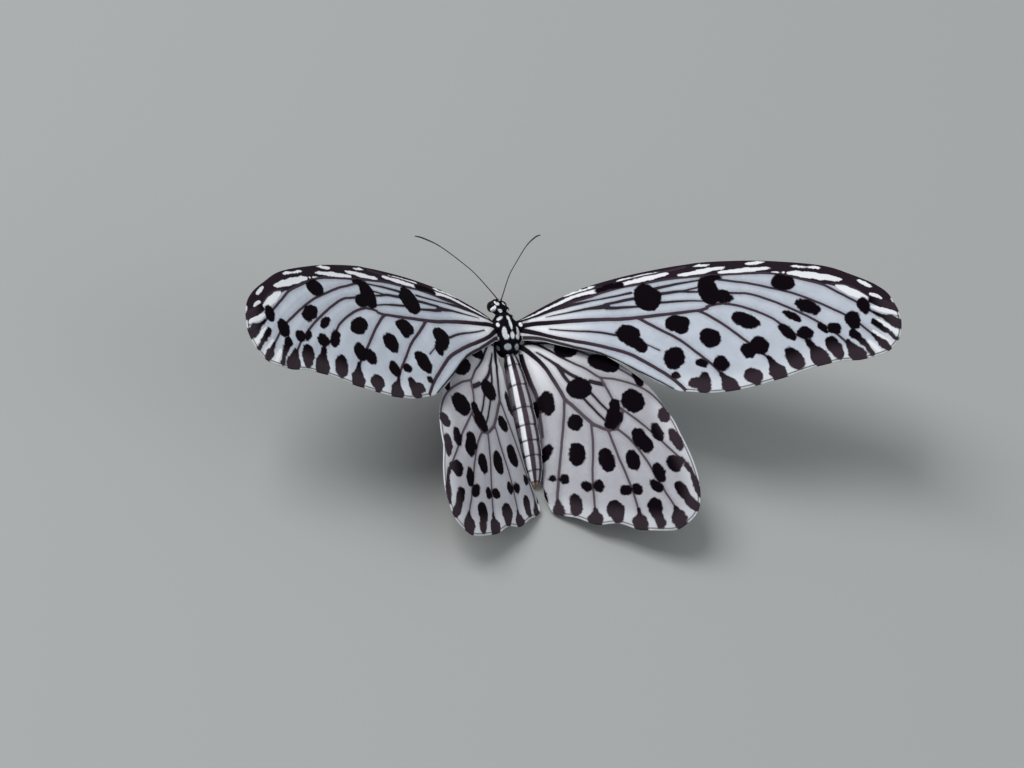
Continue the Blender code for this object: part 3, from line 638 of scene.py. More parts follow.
CLAW = [(-0.08, 0.04, 0.0, 0.06), (0.14, 0.12, 0.05, 0.045),  # ahead, aside, up, radius
        (0.3, 0.15, -0.1, 0.012)]


def limb_rod(start, stop, first_radius, last_radius, swell, sides=14):
    """One stiff leg segment, fuller in the middle and rounded at both ends."""
    start, stop = np.array(start), np.array(stop)
    way = []
    for t in (0.0, 0.015, 0.05, 0.12, 0.25, 0.4, 0.6, 0.8, 0.9, 0.96, 0.99, 1.0):
        full = min(1.0, 0.45 + 12 * min(t, 1.0 - t))
        radius = (first_radius + (last_radius - first_radius) * t) * full
        way.append((*(start + (stop - start) * t), radius * (1 + swell * math.sin(math.pi * t))))
    return rod_mesh(np.array(way), sides)


for pair in ("fore", "mid", "hind"):
    for side, word in SIDES:
        out, behind = LEG_ROOTS[pair]
        _, high, middle_height = trunk_shape(np.array([float(behind)]))
        under = middle_height[0] - high[0] * LEG_ROOT_DEPTH
        share = FOLDED_SHARE if pair == "fore" else 1.0
        ways = stand([(side * out * 0.8, behind, under + 0.7),
                      (side * (out + 0.1), behind, under - 0.9)]) / MM
        ways = [*ways, *[(side * x, y - BODY_AHEAD, z) for x, y, z in LEG_WAYS[pair]]]
        kinds = [kind for kind in SEGMENT_RADII if kind != "heel" or pair != "fore"]
        rods = []
        draw = random.Random(5 + len(pair) + side)
        for kind, start, stop in zip(kinds, ways, ways[1:]):
            radii = [radius * share for radius in SEGMENT_RADII[kind]]
            start, stop = np.array(start), np.array(stop)
            if kind in FOOT_JOINTS:
                for k in range(FOOT_JOINTS[kind]):
                    a = start + (stop - start) * k / FOOT_JOINTS[kind]
                    b = start + (stop - start) * (k + 1 + JOINT_LAP) / FOOT_JOINTS[kind]
                    rods.append(limb_rod(a, b, radii[0] * 0.8, radii[1] * 1.1, 0.1, 10))
                continue
            rods.append(limb_rod(start, stop, *radii, 0.25 if kind == "thigh" else 0.08))
            if kind == "shin" and pair != "fore":
                run = (stop - start) / np.linalg.norm(stop - start)
                across = np.cross(run, (0.0, 0.0, 1.0))
                across /= np.linalg.norm(across)
                for k in range(SPINES_A_SHIN):
                    root = start + (stop - start) * (0.12 + 0.84 * k / SPINES_A_SHIN)
                    lean = across * (1 if k % 2 else -1) + np.cross(run, across) * draw.uniform(-1.0, 0.2)
                    tip = root + lean / np.linalg.norm(lean) * SPINE_OUT + run * SPINE_AHEAD
                    rods.append(rod_mesh(np.array([(*root, SPINE_RADIUS), (*tip, SPINE_RADIUS * 0.2)]), 5))
        limb_points, limb_faces = join_rods(rods)
        limb = new_mesh_object(pair + "leg_limb_" + word, limb_points * MM, limb_faces, limb_finish)
        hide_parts(pair + "leg_" + word)
        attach(limb, "root")
        if pair == "fore":
            continue
        # a pair of curved claws at the end of each standing foot
        claws = []
        toe, before = np.array(ways[-1]), np.array(ways[-2])
        ahead = (toe - before) / np.linalg.norm(toe - before)
        beside = np.cross(ahead, (0.0, 0.0, 1.0))
        for spread in (-1, 1):
            way = [(*(toe + ahead * on + beside * spread * aside + (0, 0, up)), radius)
                   for on, aside, up, radius in CLAW]
            claws.append(rod_mesh(smooth_way(way, 0.03), 6))
        claw_points, claw_faces = join_rods(claws)
        claw = new_mesh_object(pair + "leg_claws_" + word, claw_points * MM, claw_faces, limb_finish)
        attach(claw, "root")

# Wings. Each is a thin stiff sheet stiffened by raised hollow veins, and covered on both faces
# by scales: chalky white, with black scales along the veins and in rows of spots. It is made
# flat as out and ahead of its hinge, in millimetres, and then cambered and raised.
WING_LENGTH, WING_DEPTH = 72.0, 40.0
# a vein, ray or wedge: half width at the root and at the end, and its way
# a spot or pale patch: its place, its two half sizes and the degrees that it is turned
FOREWING = {
    "hinge": (3.2, -0.95, 2.2), "raised": 20.7, "nose_down": 15.1, "droop": 3.3, "twist": 7.6,
    "crown": 6.2, "root_drop": 1.1, "root_slope": 0.42,
    "front": [(0, 0.9), (1, 1.55), (2, 2.1), (4, 3.05), (8, 4.6), (12, 5.9), (18, 7.05), (25, 7.9),
        (34, 8.4), (42.5, 7.9), (50, 6.9), (59, 5), (64.1, 2.7), (68.7, 0), (71, -2.8)],
    "inner": [(25.3, -16.7), (22, -14.9), (18.5, -12.2), (15.8, -10), (12.9, -8.4), (8.2, -6.5),
        (4.1, -4.8), (0, -2.7)],
    "scallops": (-0.2, 0.0, 0.2, 0.05, 0.0, -0.25),
    "outer_veins": [
        (0.22, 0.27, [(0.5, 0.8), (3, 1.45), (5, 2.1), (8, 3), (12, 3.65), (14, 4), (16, 4.5),
            (20, 5.15), (25, 5.45), (30, 5.7), (37, 5.45), (47, 4.8), (51, 3.9), (56, 2.1),
            (58.3, 1.15), (60.8, -0.6), (64.5, -3.2), (66.5, -4.9), (69, -6.2), (71.8, -7.6)]),
        (0.26, 0.24, [(38, 4.6), (41, 3.75), (44, 3), (48, 1.6), (52, 0.1), (56, -2), (60, -4.4),
            (62, -5.7), (64, -7.5), (66, -9.7), (68.8, -12.3)]),
        (0.26, 0.24, [(39.5, 1.45), (42, 1.1), (44, 0.7), (48, -1.25), (52, -3.6), (54, -4.9),
            (56, -6.4), (58.9, -8.9), (60.5, -10.9), (62.8, -13.9)]),
        (0.26, 0.24, [(38.7, -0.7), (40.8, -1.3), (44.1, -2.8), (47.2, -4.75), (50, -7.6), (52.7, -9.3),
            (53.5, -10.6), (55, -14.4)]),
        (0.3, 0.26, [(33.4, -1.7), (34.5, -2.4), (37.2, -4.7), (40, -7.6), (43.6, -11.3), (44.6, -12.6),
            (46.4, -16.3)]),
        (0.32, 0.26, [(21.5, -1.7), (24.5, -4.1), (28.3, -7), (30.7, -9.6), (33.4, -12.5),
            (34.6, -14.3), (36.6, -17.9)]),
        (0.42, 0.35, [(0.4, -0.9), (2, -2.1), (4, -3.25), (8, -4.75), (12, -6.1), (16, -7.75),
            (18, -8.7), (20, -10.1), (24, -13.4), (25.6, -14.95), (27.5, -17.3)])],
    "inside_veins": [
        (0.12, 0.18, [(1, 1.5), (3, 2.35), (5, 3.15), (8, 4.3), (12, 5.2), (18, 6.1), (23, 6.85),
            (30, 7.5), (33, 7.9)]),
        (0.5, 0.28, [(0.5, -0.1), (5, -0.45), (8, -0.6), (12, -0.87), (16, -1.25), (20, -1.58),
            (33.5, -1.5), (35, -1), (36.5, -0.65), (38.7, -0.6)]),
        (0.15, 0.15, [(60, 1.2), (62.6, 0.75), (64.6, -0.35), (66.5, -1.9), (68.5, -3.1), (71, -4.2)]),
        (0.3, 0.3, [(38.7, -0.7), (38.9, 1), (37.6, 2.2), (37.2, 3.3), (37.5, 4.6), (37, 5.4)])],
    "rays": [
        (0.1, 0.42, [(2.5, 1.2), (5, 1.95), (8, 2.6)]), (0.42, 0.12, [(8, 2.6), (12, 2.95), (14, 3.1)]),
        (0.12, 0.22, [(14, 3.1), (18, 3.35), (21.5, 3.7)]),
        (0.3, 0.12, [(25.8, 3.9), (30.2, 4.4), (35.2, 4.7)]),
        (0.05, 0.2, [(4.5, 0.85), (8, 1.1), (12, 1.4)]), (0.2, 0.5, [(12, 1.4), (16.3, 1.45)]),
        (0.22, 0.28, [(16, 1.85), (19, 2.15), (21.8, 2.4)]),
        (0.3, 0.15, [(26.4, 2.7), (30.6, 2.75), (32.5, 2.4), (34.5, 2.2)]),
        (0.12, 0.12, [(30.8, 2.75), (34.8, 3.2)]), (0.3, 0.2, [(16, 1.1), (18, 0.85), (21.9, 0.63)]),
        (0.22, 0.1, [(26.4, 0.9), (31.4, 0.63), (34.8, 0.25)]),
        (0.1, 0.2, [(4.5, -1.85), (8, -2.7), (12, -3.45), (14, -3.95), (16.6, -4.8)]),
        (0.06, 0.1, [(21.5, -7.1), (24, -8.8)]),
        (0.3, 0.08, [(0.6, -2.5), (2.5, -3.5), (4.1, -4.3), (8.2, -6.15), (12.9, -8.15), (18.5, -12.0),
            (25, -16.5)])],
    "front_band": [(59, 1.2), (62.5, 0), (66, -2.9), (71.6, -6.5)],
    "pale_streaks": [
        (0.13, 0.4, [(0.4, 0.9), (2, 1.5), (3, 1.86), (4, 2.26), (8, 3.66), (10, 4.3), (12, 4.8),
            (15, 5.05)])],
    "pale": [
        (11.7, 5.48, 3.6, 0.2, 11), (23.4, 7.05, 4.1, 0.2, 6), (24.8, 6.35, 4.9, 0.46, 7),
        (36, 7.72, 1.6, 0.22, 0), (35.8, 6.5, 4.7, 0.42, 4), (44, 5.75, 5.1, 0.42, -1),
        (46.4, 6.97, 1.9, 0.24, -1), (49.7, 4.6, 0.85, 0.2, -5), (51.2, 4.45, 0.3, 0.2, 0),
        (57, 3.1, 5.4, 0.62, -14), (55.8, 5.05, 2.9, 0.2, -10), (63.6, -0.85, 3.6, 0.78, -31),
        (66.25, 0.65, 1.6, 0.38, -33), (68, -2, 1.35, 0.38, -27), (69, -4.9, 2.8, 0.42, -20),
        (65.6, -11.7, 1.8, 0.42, -50), (67.6, -10.3, 2.5, 0.48, -45), (69.3, -8.3, 2.9, 0.5, -38)],
    "spots": [
        (24.2, 2.1, 2.5, 2.6, 0), (24, 4, 1.6, 1.2, 0), (25.4, 2.3, 1.5, 1.4, 0),
        (36.1, 2.3, 1.85, 2.85, 0), (38.4, 0.9, 2, 1.25, -20), (37.4, 4.85, 1.9, 0.5, 0),
        (18.8, -4.8, 2.1, 1.9, 0), (19.2, -6.2, 2, 1.3, -35), (20.6, -7.3, 1.2, 1.4, 20),
        (28.6, -3.7, 2.4, 1.6, 0), (29.3, -4.9, 1.1, 1, 0), (26.5, -10.6, 2.25, 1.85, 45),
        (34.2, -7.3, 2, 1.85, 0), (41.7, -4.5, 2.75, 1.4, -25), (50.7, 2.4, 2.3, 1.5, -8),
        (54.3, -2.9, 2.45, 1.25, -25), (50.9, -4.5, 1.8, 0.75, -33), (31.5, -12.1, 1.1, 0.75, 0),
        (35.2, -12.5, 1.4, 1.35, 0), (26, -14, 0.85, 0.6, 0), (40.9, -10.5, 1.4, 1.45, 0),
        (43.3, -9.7, 1.65, 1.65, 0), (49.2, -7.5, 1.9, 1.05, -50), (52.6, -8.1, 1.45, 1.15, 0),
        (56.3, -7.4, 1.2, 0.6, -50), (58.5, -7.6, 1.3, 1, -20), (62.4, -6.3, 1.4, 1.7, 0),
        (65.2, -3.7, 1.15, 1.55, 0), (31.4, -15.6, 1, 1.6, 0), (29.5, -15.9, 1.4, 0.95, 0),
        (30.8, -17, 1.3, 1, 0), (40.8, -15.4, 1.7, 1.4, 0), (49.5, -12.8, 1.5, 2.3, 25),
        (57.7, -11.3, 1.35, 2.3, 22)],
    "wedges": [
        (0.45, 1.5, [(34.8, -14.6), (36.3, -17.6)]), (0.4, 1.6, [(44.6, -12.2), (46.1, -16.2)]),
        (0.55, 1.7, [(53, -9.9), (54.9, -14)]), (0.55, 1.6, [(60.5, -10.6), (62.2, -13.5)]),
        (0.75, 0.4, [(61.9, -8.9), (63.1, -10.1), (63.9, -11.3), (64.7, -12.9)]),
        (0.25, 0.7, [(65.8, -9.4), (67, -10.9), (68.2, -12.1)]),
        (0.55, 0.28, [(66.4, -7), (68, -8.4), (70.2, -10.4)]), (0.2, 1, [(67, -5.2), (71.6, -7.8)]),
        (0.45, 0.6, [(66.9, -2.6), (71.5, -4.6)]), (0.7, 0.4, [(41, -16.4), (41.4, -17.4)]),
        (0.35, 0.6, [(15.2, 5.1), (17.5, 5.6), (20, 5.7)])]}
HINDWING = {
    "hinge": (2.8, 2.9, 1.0), "raised": 27.9, "nose_down": 8.3, "droop": 21.9, "twist": 0.55,
    "crown": 5.1, "root_drop": 0.2, "root_slope": 0.0,
    "front": [(0, 1.2), (2.5, 1.8), (5, 1.6), (10, -0.7), (15, -4.1), (19, -7.7), (21.9, -11.2),
        (24.2, -16)],
    "inner": [(-1.2, -31), (-1.7, -27.5), (-1.5, -20), (-1.2, -12), (-0.7, -6), (0, -2.6)],
    "scallops": (-0.1, -0.5, 0.1, 0.8, 0.3),
    "outer_veins": [
        (0.26, 0.2, [(1.2, 1.1), (3, -0.1), (4.8, -1.65), (6.5, -3.2), (8, -4.4), (9.4, -5.4),
            (10.8, -6.4), (12.2, -7.8), (13.1, -8.4), (15.2, -8.8), (18.3, -10), (20.7, -11.4),
            (22.8, -13.7), (24.4, -17), (25.6, -20.5)]),
        (0.24, 0.2, [(13, -8.6), (13.4, -9.9), (14.3, -12.9), (14.9, -14.2), (15.7, -15.1),
            (17.8, -17.2), (20.4, -20.1), (22.8, -23.2), (24.5, -25.3), (26.05, -27.2), (27.3, -31.2)]),
        (0.24, 0.2, [(14, -18.7), (15.9, -20.8), (17.3, -23.2), (18.6, -26), (19.7, -28.9),
            (20.7, -31.7), (21.8, -34.2), (22.6, -38.2)]),
        (0.24, 0.2, [(12.3, -18.9), (12.6, -20.4), (13.2, -23.9), (13.9, -27), (14.5, -30.1),
            (14.9, -33.4), (15, -38)]),
        (0.24, 0.2, [(9.4, -17.4), (9.25, -19.4), (8.8, -22.2), (8, -25.7), (7.5, -28.6), (7.2, -31.4),
            (6.7, -35.9)]),
        (0.26, 0.2, [(5.4, -12), (4.9, -14.4), (4.4, -16.3), (3.4, -19.75), (2.8, -22), (2, -25.2),
            (1.4, -28.1), (0.9, -30.8), (0.9, -33.2)])],
    "inside_veins": [
        (0.24, 0.2, [(1, 0.6), (6, -0.4), (12, -3.6), (17, -7), (19.6, -9.2), (20.6, -10.3)]),
        (0.4, 0.34, [(0.2, 0.5), (0.8, -0.4), (1.5, -1.7), (2.5, -3.5), (3.3, -5.2), (3.9, -6.8),
            (5.1, -10.1), (5.5, -11.6), (6.65, -13.1), (8.7, -15.9), (9.75, -17.2), (10.8, -17.9),
            (12.2, -18.7), (14, -18.7)]), (0.25, 0.25, [(14, -18.7), (15.3, -16.9), (15.7, -15.1)]),
        (0.36, 0.16, [(0.15, -1.5), (0.3, -3.6), (0.6, -6.6), (1.05, -9.8), (1.1, -12), (1, -14.2),
            (0.85, -18)])],
    "rays": [
        (0.1, 0.32, [(2.4, -1.6), (3.4, -2.7), (4.95, -4.4), (5.6, -5.1)]),
        (0.3, 0.3, [(5.6, -5.2), (7.4, -7), (8.6, -7.9)]),
        (0.25, 0.3, [(5.6, -5.4), (6.1, -6.8), (6.6, -8), (7.2, -9)]),
        (0.2, 0.17, [(8.8, -11.8), (10.4, -14.4), (12.2, -17)]),
        (0.2, 0.17, [(10.4, -11), (11.9, -13.5), (13.3, -15.5)]),
        (0.35, 0.42, [(10.9, -9), (12, -9.45), (13.2, -9.8)]),
        (0.12, 0.18, [(-0.3, -3), (-0.7, -6), (-0.95, -12), (-1.1, -20), (-1.3, -27)])],
    "front_band": [], "pale_streaks": [], "pale": [],
    "spots": [
        (7.8, -1.6, 2.1, 1.9, 0), (14.2, -5.4, 2.9, 1.75, -25), (19.9, -9.2, 0.75, 1.5, 15),
        (8.6, -10.1, 2.25, 2.05, 0), (14.5, -14.4, 0.95, 1.4, -10), (13.9, -16.5, 1.45, 1.7, -20),
        (13.1, -17.8, 1.2, 0.8, 0), (18.05, -13.6, 2.15, 2.2, 0), (6.55, -16.5, 1.38, 1.45, 0),
        (2.35, -11.95, 1.2, 2.2, 0), (0.45, -12.6, 0.7, 1.45, 0), (0.75, -21.2, 0.85, 1.5, -25),
        (5.75, -22.55, 1.5, 2.12, -10), (10.95, -24.4, 1.42, 2.15, 0), (15.75, -25, 1.2, 2, 10),
        (18.2, -21.45, 1.45, 2.5, 27), (21.3, -20.1, 0.92, 1.8, 13), (23.2, -16.8, 1.05, 1.4, -15),
        (24.5, -21.8, 0.92, 2.25, 17), (23.3, -26.35, 1.35, 1.45, 0), (24.5, -25.9, 0.8, 0.6, -30),
        (20.2, -27.8, 0.98, 1.75, 12), (19.15, -30.25, 0.85, 1.35, 38), (2.65, -26.9, 0.72, 0.88, 0),
        (0.95, -26.15, 0.42, 0.55, 0), (6.35, -28.7, 0.92, 0.9, 0), (8.55, -29.05, 0.95, 1.05, 0),
        (13.3, -30.4, 1.05, 0.9, -20), (15.55, -30.4, 0.85, 1, 0), (-1, -29, 0.75, 1.6, 5),
        (3.7, -31.6, 1.1, 1.75, 0), (3.4, -32.8, 0.8, 1, 0), (10.75, -33.8, 1.5, 1.75, 0),
        (10.9, -35, 1.05, 1.1, 0), (18.15, -34.2, 1.25, 1.9, 0), (18.5, -36.4, 0.9, 1.7, 5),
        (14.75, -36.5, 1.3, 1.2, 0), (22.3, -36.5, 1.3, 1.25, 0), (6.7, -34.85, 1.3, 1.1, 0)],
    "wedges": [
        (0.25, 0.85, [(0.95, -30.7), (0.8, -32.9)]), (0.3, 1.2, [(7.15, -33.2), (6.75, -35.6)]),
        (0.25, 1.3, [(15, -34.2), (15, -37.9)]), (0.3, 1.3, [(21.9, -34.5), (22.4, -37.8)]),
        (0.95, 0.75, [(23.4, -30.7), (24.1, -32.2), (24.9, -33.7), (25.8, -34.8)]),
        (0.3, 0.5, [(25.6, -26.7), (26.3, -28.6), (26.6, -30.3), (26.9, -32.6)])]}
FOLD_SOFTNESS, FOLD_DROP, FOLD_FLOOR, FOLD_CLEAR, FOLD_END = 0.7, 1.64, 0.75, 0.78, 32.2
TUCK_DROP, TUCK_REACH, TUCK_BEND = 0.75, 6.0, 0.7
ROOT_INWARD, ROOT_REACH = 1.0, 3.4
BLADE_HALF, RIM_HALF = 0.09, 0.05
VEIN_HALF_WIDTH, VEIN_RISE = (0.24, 0.1), (0.17, 0.06)
PLEAT_DEPTH, PLEAT_REACH = 0.16, 2.2
WOBBLE, DARK_STRAY, VEIN_STRAY, RAY_STRAY = 0.05, 1.3, 0.25, 0.3
DARK_BLEND, VEIN_BLEND, RAY_BLEND, PALE_BLEND = 0.12, 0.06, 0.05, 0.06
MARGIN_REACH, ROOT_MARK_REACH, BAND_SLOPE = 5.0, 9.0, 0.9
WEDGE_SWELLING = (0.0, 0.25, 0.65, 1.0), (0.0, 0.15, 1.0, 0.85)
GRID_STEP, RIM_STEP, CREST_STEP, STREAK_STEP, NUDGE = 0.25, 0.325, 0.4, 1.2, 0.02
CREST_FROM_RIM, THIN_RIM = 0.2, 1.5


def measure(points, line):
    """How far flat points lie from a bent line, and how far along it the nearest place is."""
    line = np.asarray(line, dtype=float)
    start, span = line[:-1], np.diff(line, axis=0)
    length = np.maximum(np.hypot(*span.T), 1e-9)
    away, along = np.full(len(points), np.inf), np.zeros(len(points))
    gone = np.concatenate([[0.0], np.cumsum(length)])
    for k in range(len(span)):
        t = np.clip((points - start[k]) @ span[k] / length[k] ** 2, 0.0, 1.0)
        far = np.hypot(*(points - start[k] - t[:, None] * span[k]).T)
        closer = far < away
        away = np.where(closer, far, away)
        along = np.where(closer, (gone[k] + t * length[k]) / gone[-1], along)
    return away, along


def wing_surface(wing, flat):
    """Middle of the left wing's sheet, in body millimetres, for flat points."""
    out, ahead = flat[:, 0], flat[:, 1]
    up = -(wing["droop"] * (out / WING_LENGTH) ** 2 + wing["crown"] * (ahead / WING_DEPTH) ** 2)
    up = up + wing["twist"] * out * ahead / (WING_LENGTH * WING_DEPTH)
    if wing is HINDWING:
        near_front = np.maximum(0.0, 1.0 - measure(flat, wing["front"])[0] / TUCK_REACH)
        up = up - TUCK_DROP * near_front ** TUCK_BEND
    turn = (Matrix.Rotation(-math.radians(wing["raised"]), 3, "Y")
            @ Matrix.Rotation(math.radians(wing["nose_down"]), 3, "X"))
    place = np.stack([out, -ahead, up], axis=-1) @ np.array(turn).T + wing["hinge"]
    near_root = (1.0 - np.clip(out / ROOT_REACH, 0.0, 1.0)) ** 2
    place[:, 0] -= ROOT_INWARD * near_root
    place[:, 2] -= near_root * (wing["root_drop"] + wing["root_slope"] * np.maximum(0.0, -ahead))
    if wing is HINDWING:
        beside = FOLD_CLEAR + np.interp(
            place[:, 1], [*ABDOMEN_JOINTS, FOLD_END], [*ABDOMEN_HALF_WIDTHS, 0.0])
        pushed = FOLD_SOFTNESS * np.log1p(np.exp((beside - place[:, 0]) / FOLD_SOFTNESS))
        lowest = (FOLD_FLOOR - BODY_HEIGHT + place[:, 1] * math.sin(BODY_PITCH)) / math.cos(BODY_PITCH)
        place[:, 0] += pushed
        place[:, 2] = np.maximum(lowest, place[:, 2] - FOLD_DROP * pushed)
    return place


def wing_rim(wing, spacing):
    """The rim of the flat wing, and how many of its points are the front edge and outer margin."""
    ends = [line[-1] for _, _, line in wing["outer_veins"]]
    corners = np.array(wing["front"] + ends + wing["inner"], dtype=float)
    first, last = len(wing["front"]), len(wing["front"]) + len(ends) - 1
    rim = []
    counts = []
    for i in range(len(corners) - 1):
        a, b, c = corners[max(0, i - 1)], corners[i], corners[i + 1]
        d = corners[min(len(corners) - 1, i + 2)]
        steps = max(2, round(np.hypot(*(c - b)) / spacing))
        inward = np.array((c[1] - b[1], b[0] - c[0])) / np.hypot(*(c - b))
        counts.append(len(rim))
        for k in range(steps):
            t = k / steps
            spot = smooth_between(a, b, c, d, t)
            if first <= i < last:
                spot = spot + inward * wing["scallops"][i - first] * math.sin(math.pi * t) ** 2
            rim.append(spot)
    root_steps = round(np.hypot(*(corners[0] - corners[-1])) / spacing)
    rim += [corners[-1] + (corners[0] - corners[-1]) * k / root_steps for k in range(root_steps)]
    return np.array(rim), counts[first - 1], counts[last]


def streak_depth(points, streaks, swelling=((0.0, 1.0), (0.0, 1.0))):
    """Signed distance inside each of many bent streaks of changing half width."""
    depths = []
    for first, last, line in streaks:
        away, along = measure(points, smooth_way(line, STREAK_STEP))
        depths.append(first + (last - first) * np.interp(along, *swelling) - away)
    return depths


def spot_depth(points, spots):
    """Signed distance inside each of many turned ovals."""
    depths = []
    for out, ahead, half_out, half_ahead, turned in spots:
        c, s = cos_sin(turned)
        x, y = points[:, 0] - out, points[:, 1] - ahead
        x, y = (x * c + y * s) / half_out, (y * c - x * s) / half_ahead
        reach = np.maximum(np.hypot(x, y), 1e-6)
        slope = np.hypot(x / half_out, y / half_ahead) / reach
        depths.append((1.0 - reach) / slope)
    return depths


def wing_marks(wing, flat, rim, margin_start, margin_stop):
    """For each flat point, how far it lies inside each kind of mark."""
    out, ahead = flat[:, 0], flat[:, 1]
    wobble = WOBBLE * np.stack([np.sin(1.7 * ahead + 0.9 * out) + np.sin(2.9 * out - 1.3 * ahead),
                                np.sin(1.9 * out - 0.7 * ahead) + np.sin(3.1 * ahead + 1.1 * out)], axis=-1)
    strayed = flat + DARK_STRAY * wobble
    veins = wing["outer_veins"] + wing["inside_veins"]
    dark = spot_depth(strayed, wing["spots"]) + streak_depth(strayed, wing["wedges"], WEDGE_SWELLING)
    marks = {"dark": soft_union(dark, DARK_BLEND),
             "vein": soft_union(streak_depth(flat + VEIN_STRAY * wobble, veins), VEIN_BLEND),
             "ray": soft_union(streak_depth(flat + RAY_STRAY * wobble, wing["rays"]), RAY_BLEND),
             "margin": MARGIN_REACH - measure(flat, rim[margin_start:margin_stop + 1])[0],
             "root": ROOT_MARK_REACH - np.hypot(out, ahead)}
    if wing["front_band"]:
        band_start = wing["front_band"][0][0]
        below = [p for p in wing["outer_veins"][0][2] if p[0] < band_start] + wing["front_band"]
        level = np.interp(out, [p[0] for p in below], [p[1] for p in below])
        marks["band"] = (ahead - level) * BAND_SLOPE
        pale = spot_depth(flat + wobble, wing["pale"]) + streak_depth(flat, wing["pale_streaks"])
        marks["pale"] = soft_union(pale, PALE_BLEND)
    return marks


def wing_sheet(wing, rim):
    """The flat wing as points and triangles, with rows of points along each vein."""
    points = [Vector(p) for p in rim]
    edges = []
    crests = []
    for first, last, line in wing["outer_veins"] + wing["inside_veins"]:
        crest = smooth_way(line, CREST_STEP)
        crest = crest[measure(crest, rim)[0] > CREST_FROM_RIM]
        crests.append(crest)
        along = np.gradient(crest, axis=0)
        along /= np.hypot(*along.T)[:, None]
        for offset in (-1, 0, 1):
            width = np.linspace(*VEIN_HALF_WIDTH, len(crest))[:, None] * offset
            start = len(points)
            points += [Vector(p) for p in crest + np.stack([-along[:, 1], along[:, 0]], axis=-1) * width]
            edges += [(k, k + 1) for k in range(start, len(points) - 1)]
    axes = []
    for out, ahead, half_out, _, turned in wing["pale"]:
        reach = Vector(cos_sin(turned)) * half_out * 0.95
        axes.append([Vector((out, ahead)) + reach * end for end in (-1, 1)])
    for line in axes + [line for _, _, line in wing["rays"] + wing["pale_streaks"]]:
        points += [Vector(p) for p in smooth_way(line, GRID_STEP)]
    low, high = rim.min(axis=0), rim.max(axis=0)
    columns = np.arange(low[0], high[0], GRID_STEP)
    rows = np.arange(low[1], high[1], GRID_STEP * 0.866)
    grid_out, grid_ahead = np.meshgrid(columns, rows)
    grid_out = grid_out + (np.arange(len(rows)) % 2)[:, None] * GRID_STEP / 2
    grid = np.stack([grid_out.ravel(), grid_ahead.ravel()], axis=-1)
    near = np.array([tuple(p) for p in points])
    cells = set()
    for x, y in np.round(near / (GRID_STEP * 0.5)).astype(int).tolist():
        cells.update((x + i, y + j) for i in (-1, 0, 1) for j in (-1, 0, 1))
    taken = np.round(grid / (GRID_STEP * 0.5)).astype(int).tolist()
    free = [k for k, cell in enumerate(taken) if tuple(cell) not in cells]
    points += [Vector(p) for p in grid[free]]
    placed, _, spread, *_ = delaunay_2d_cdt(points, edges, [list(range(len(rim)))], 1, 0.005)
    used, faces = np.unique(np.array([face for face in spread if len(face) == 3]), return_inverse=True)
    return np.array([tuple(p) for p in placed])[used], faces.reshape(-1, 3), crests


SCALE_CHALK, SCALE_SHADE = (0.66, 0.715, 0.79), (0.34, 0.37, 0.43)
HIND_CHALK, HIND_SHADE = (0.57, 0.57, 0.615), (0.29, 0.284, 0.304)
FORE_VEIN, HIND_VEIN = (0.055, 0.036, 0.05), (0.095, 0.074, 0.09)
RAY_DARK, ROOT_DARK, ROOT_WHITE = (0.02, 0.012, 0.018), (0.012, 0.007, 0.011), (0.94, 0.95, 0.98)
SPOT_BLACK, SPOT_BROWN, BAND_DARK = (0.004, 0.002, 0.004), (0.038, 0.027, 0.034), (0.022, 0.013, 0.02)
PALE_PATCH, FRINGE_WHITE = (0.85, 0.87, 0.9), (0.7, 0.72, 0.73)


def wing_finish(name, ground, shade, vein, root_white, rim_white, has_band):
    """Chalky ground, then white and dark marks over it, as the scales lie in the wing."""
    material, tree, shader = new_finish(name, 0.6, 0.03)
    cloud, middling, fine = grain_of(tree, 0.25), grain_of(tree, 1.5), grain_of(tree, 7.0)
    colour = paint(tree, ground, shade, cloud)
    colour = paint(tree, colour, shade, part_of(tree, middling, 0.5))
    colour = paint(tree, colour, ground, part_of(tree, fine, 0.6))
    vein = lay_marks(tree, vein, [(ROOT_DARK, "root", 7.0, 1.0, middling)])
    spot = lay_marks(tree, SPOT_BLACK, [(SPOT_BROWN, "margin", 1.5, 0.6, middling, -2.0)])
    band = [(BAND_DARK, "band", 0.12, 0.2, fine), (PALE_PATCH, "pale", 0.1, 0.4, middling)]
    colour = lay_marks(tree, colour, [
        (PALE_PATCH, "margin", 1.7, 0.8, middling, -2.3, rim_white),
        (ROOT_WHITE, "root", 7.0, 1.0, middling, 0.0, root_white),
        (vein, "vein", 0.5, 0.5, middling, 0.4, 0.25),
        (vein, "ray", 0.3, 0.3, middling, 0.3, 0.3),
        (RAY_DARK, "ray", 0.1, 0.16, fine, 0.06, 0.97),
        *(band if has_band else []),
        (vein, "vein", 0.09, 0.16, fine),
        (vein, "margin", 0.1, 0.2, fine, -4.46, 0.8),
        (FRINGE_WHITE, "margin", 0.06, 0.1, fine, -4.7, 0.9),
        (spot, "dark", 0.35, 0.5, middling, 0.1, 0.35),
        (spot, "dark", 0.16, 0.65, middling, 0.12)])
    tree.links.new(colour, shader.inputs["Base Color"])
    emboss(tree, shader, fine, 0.35, 0.04)
    return material


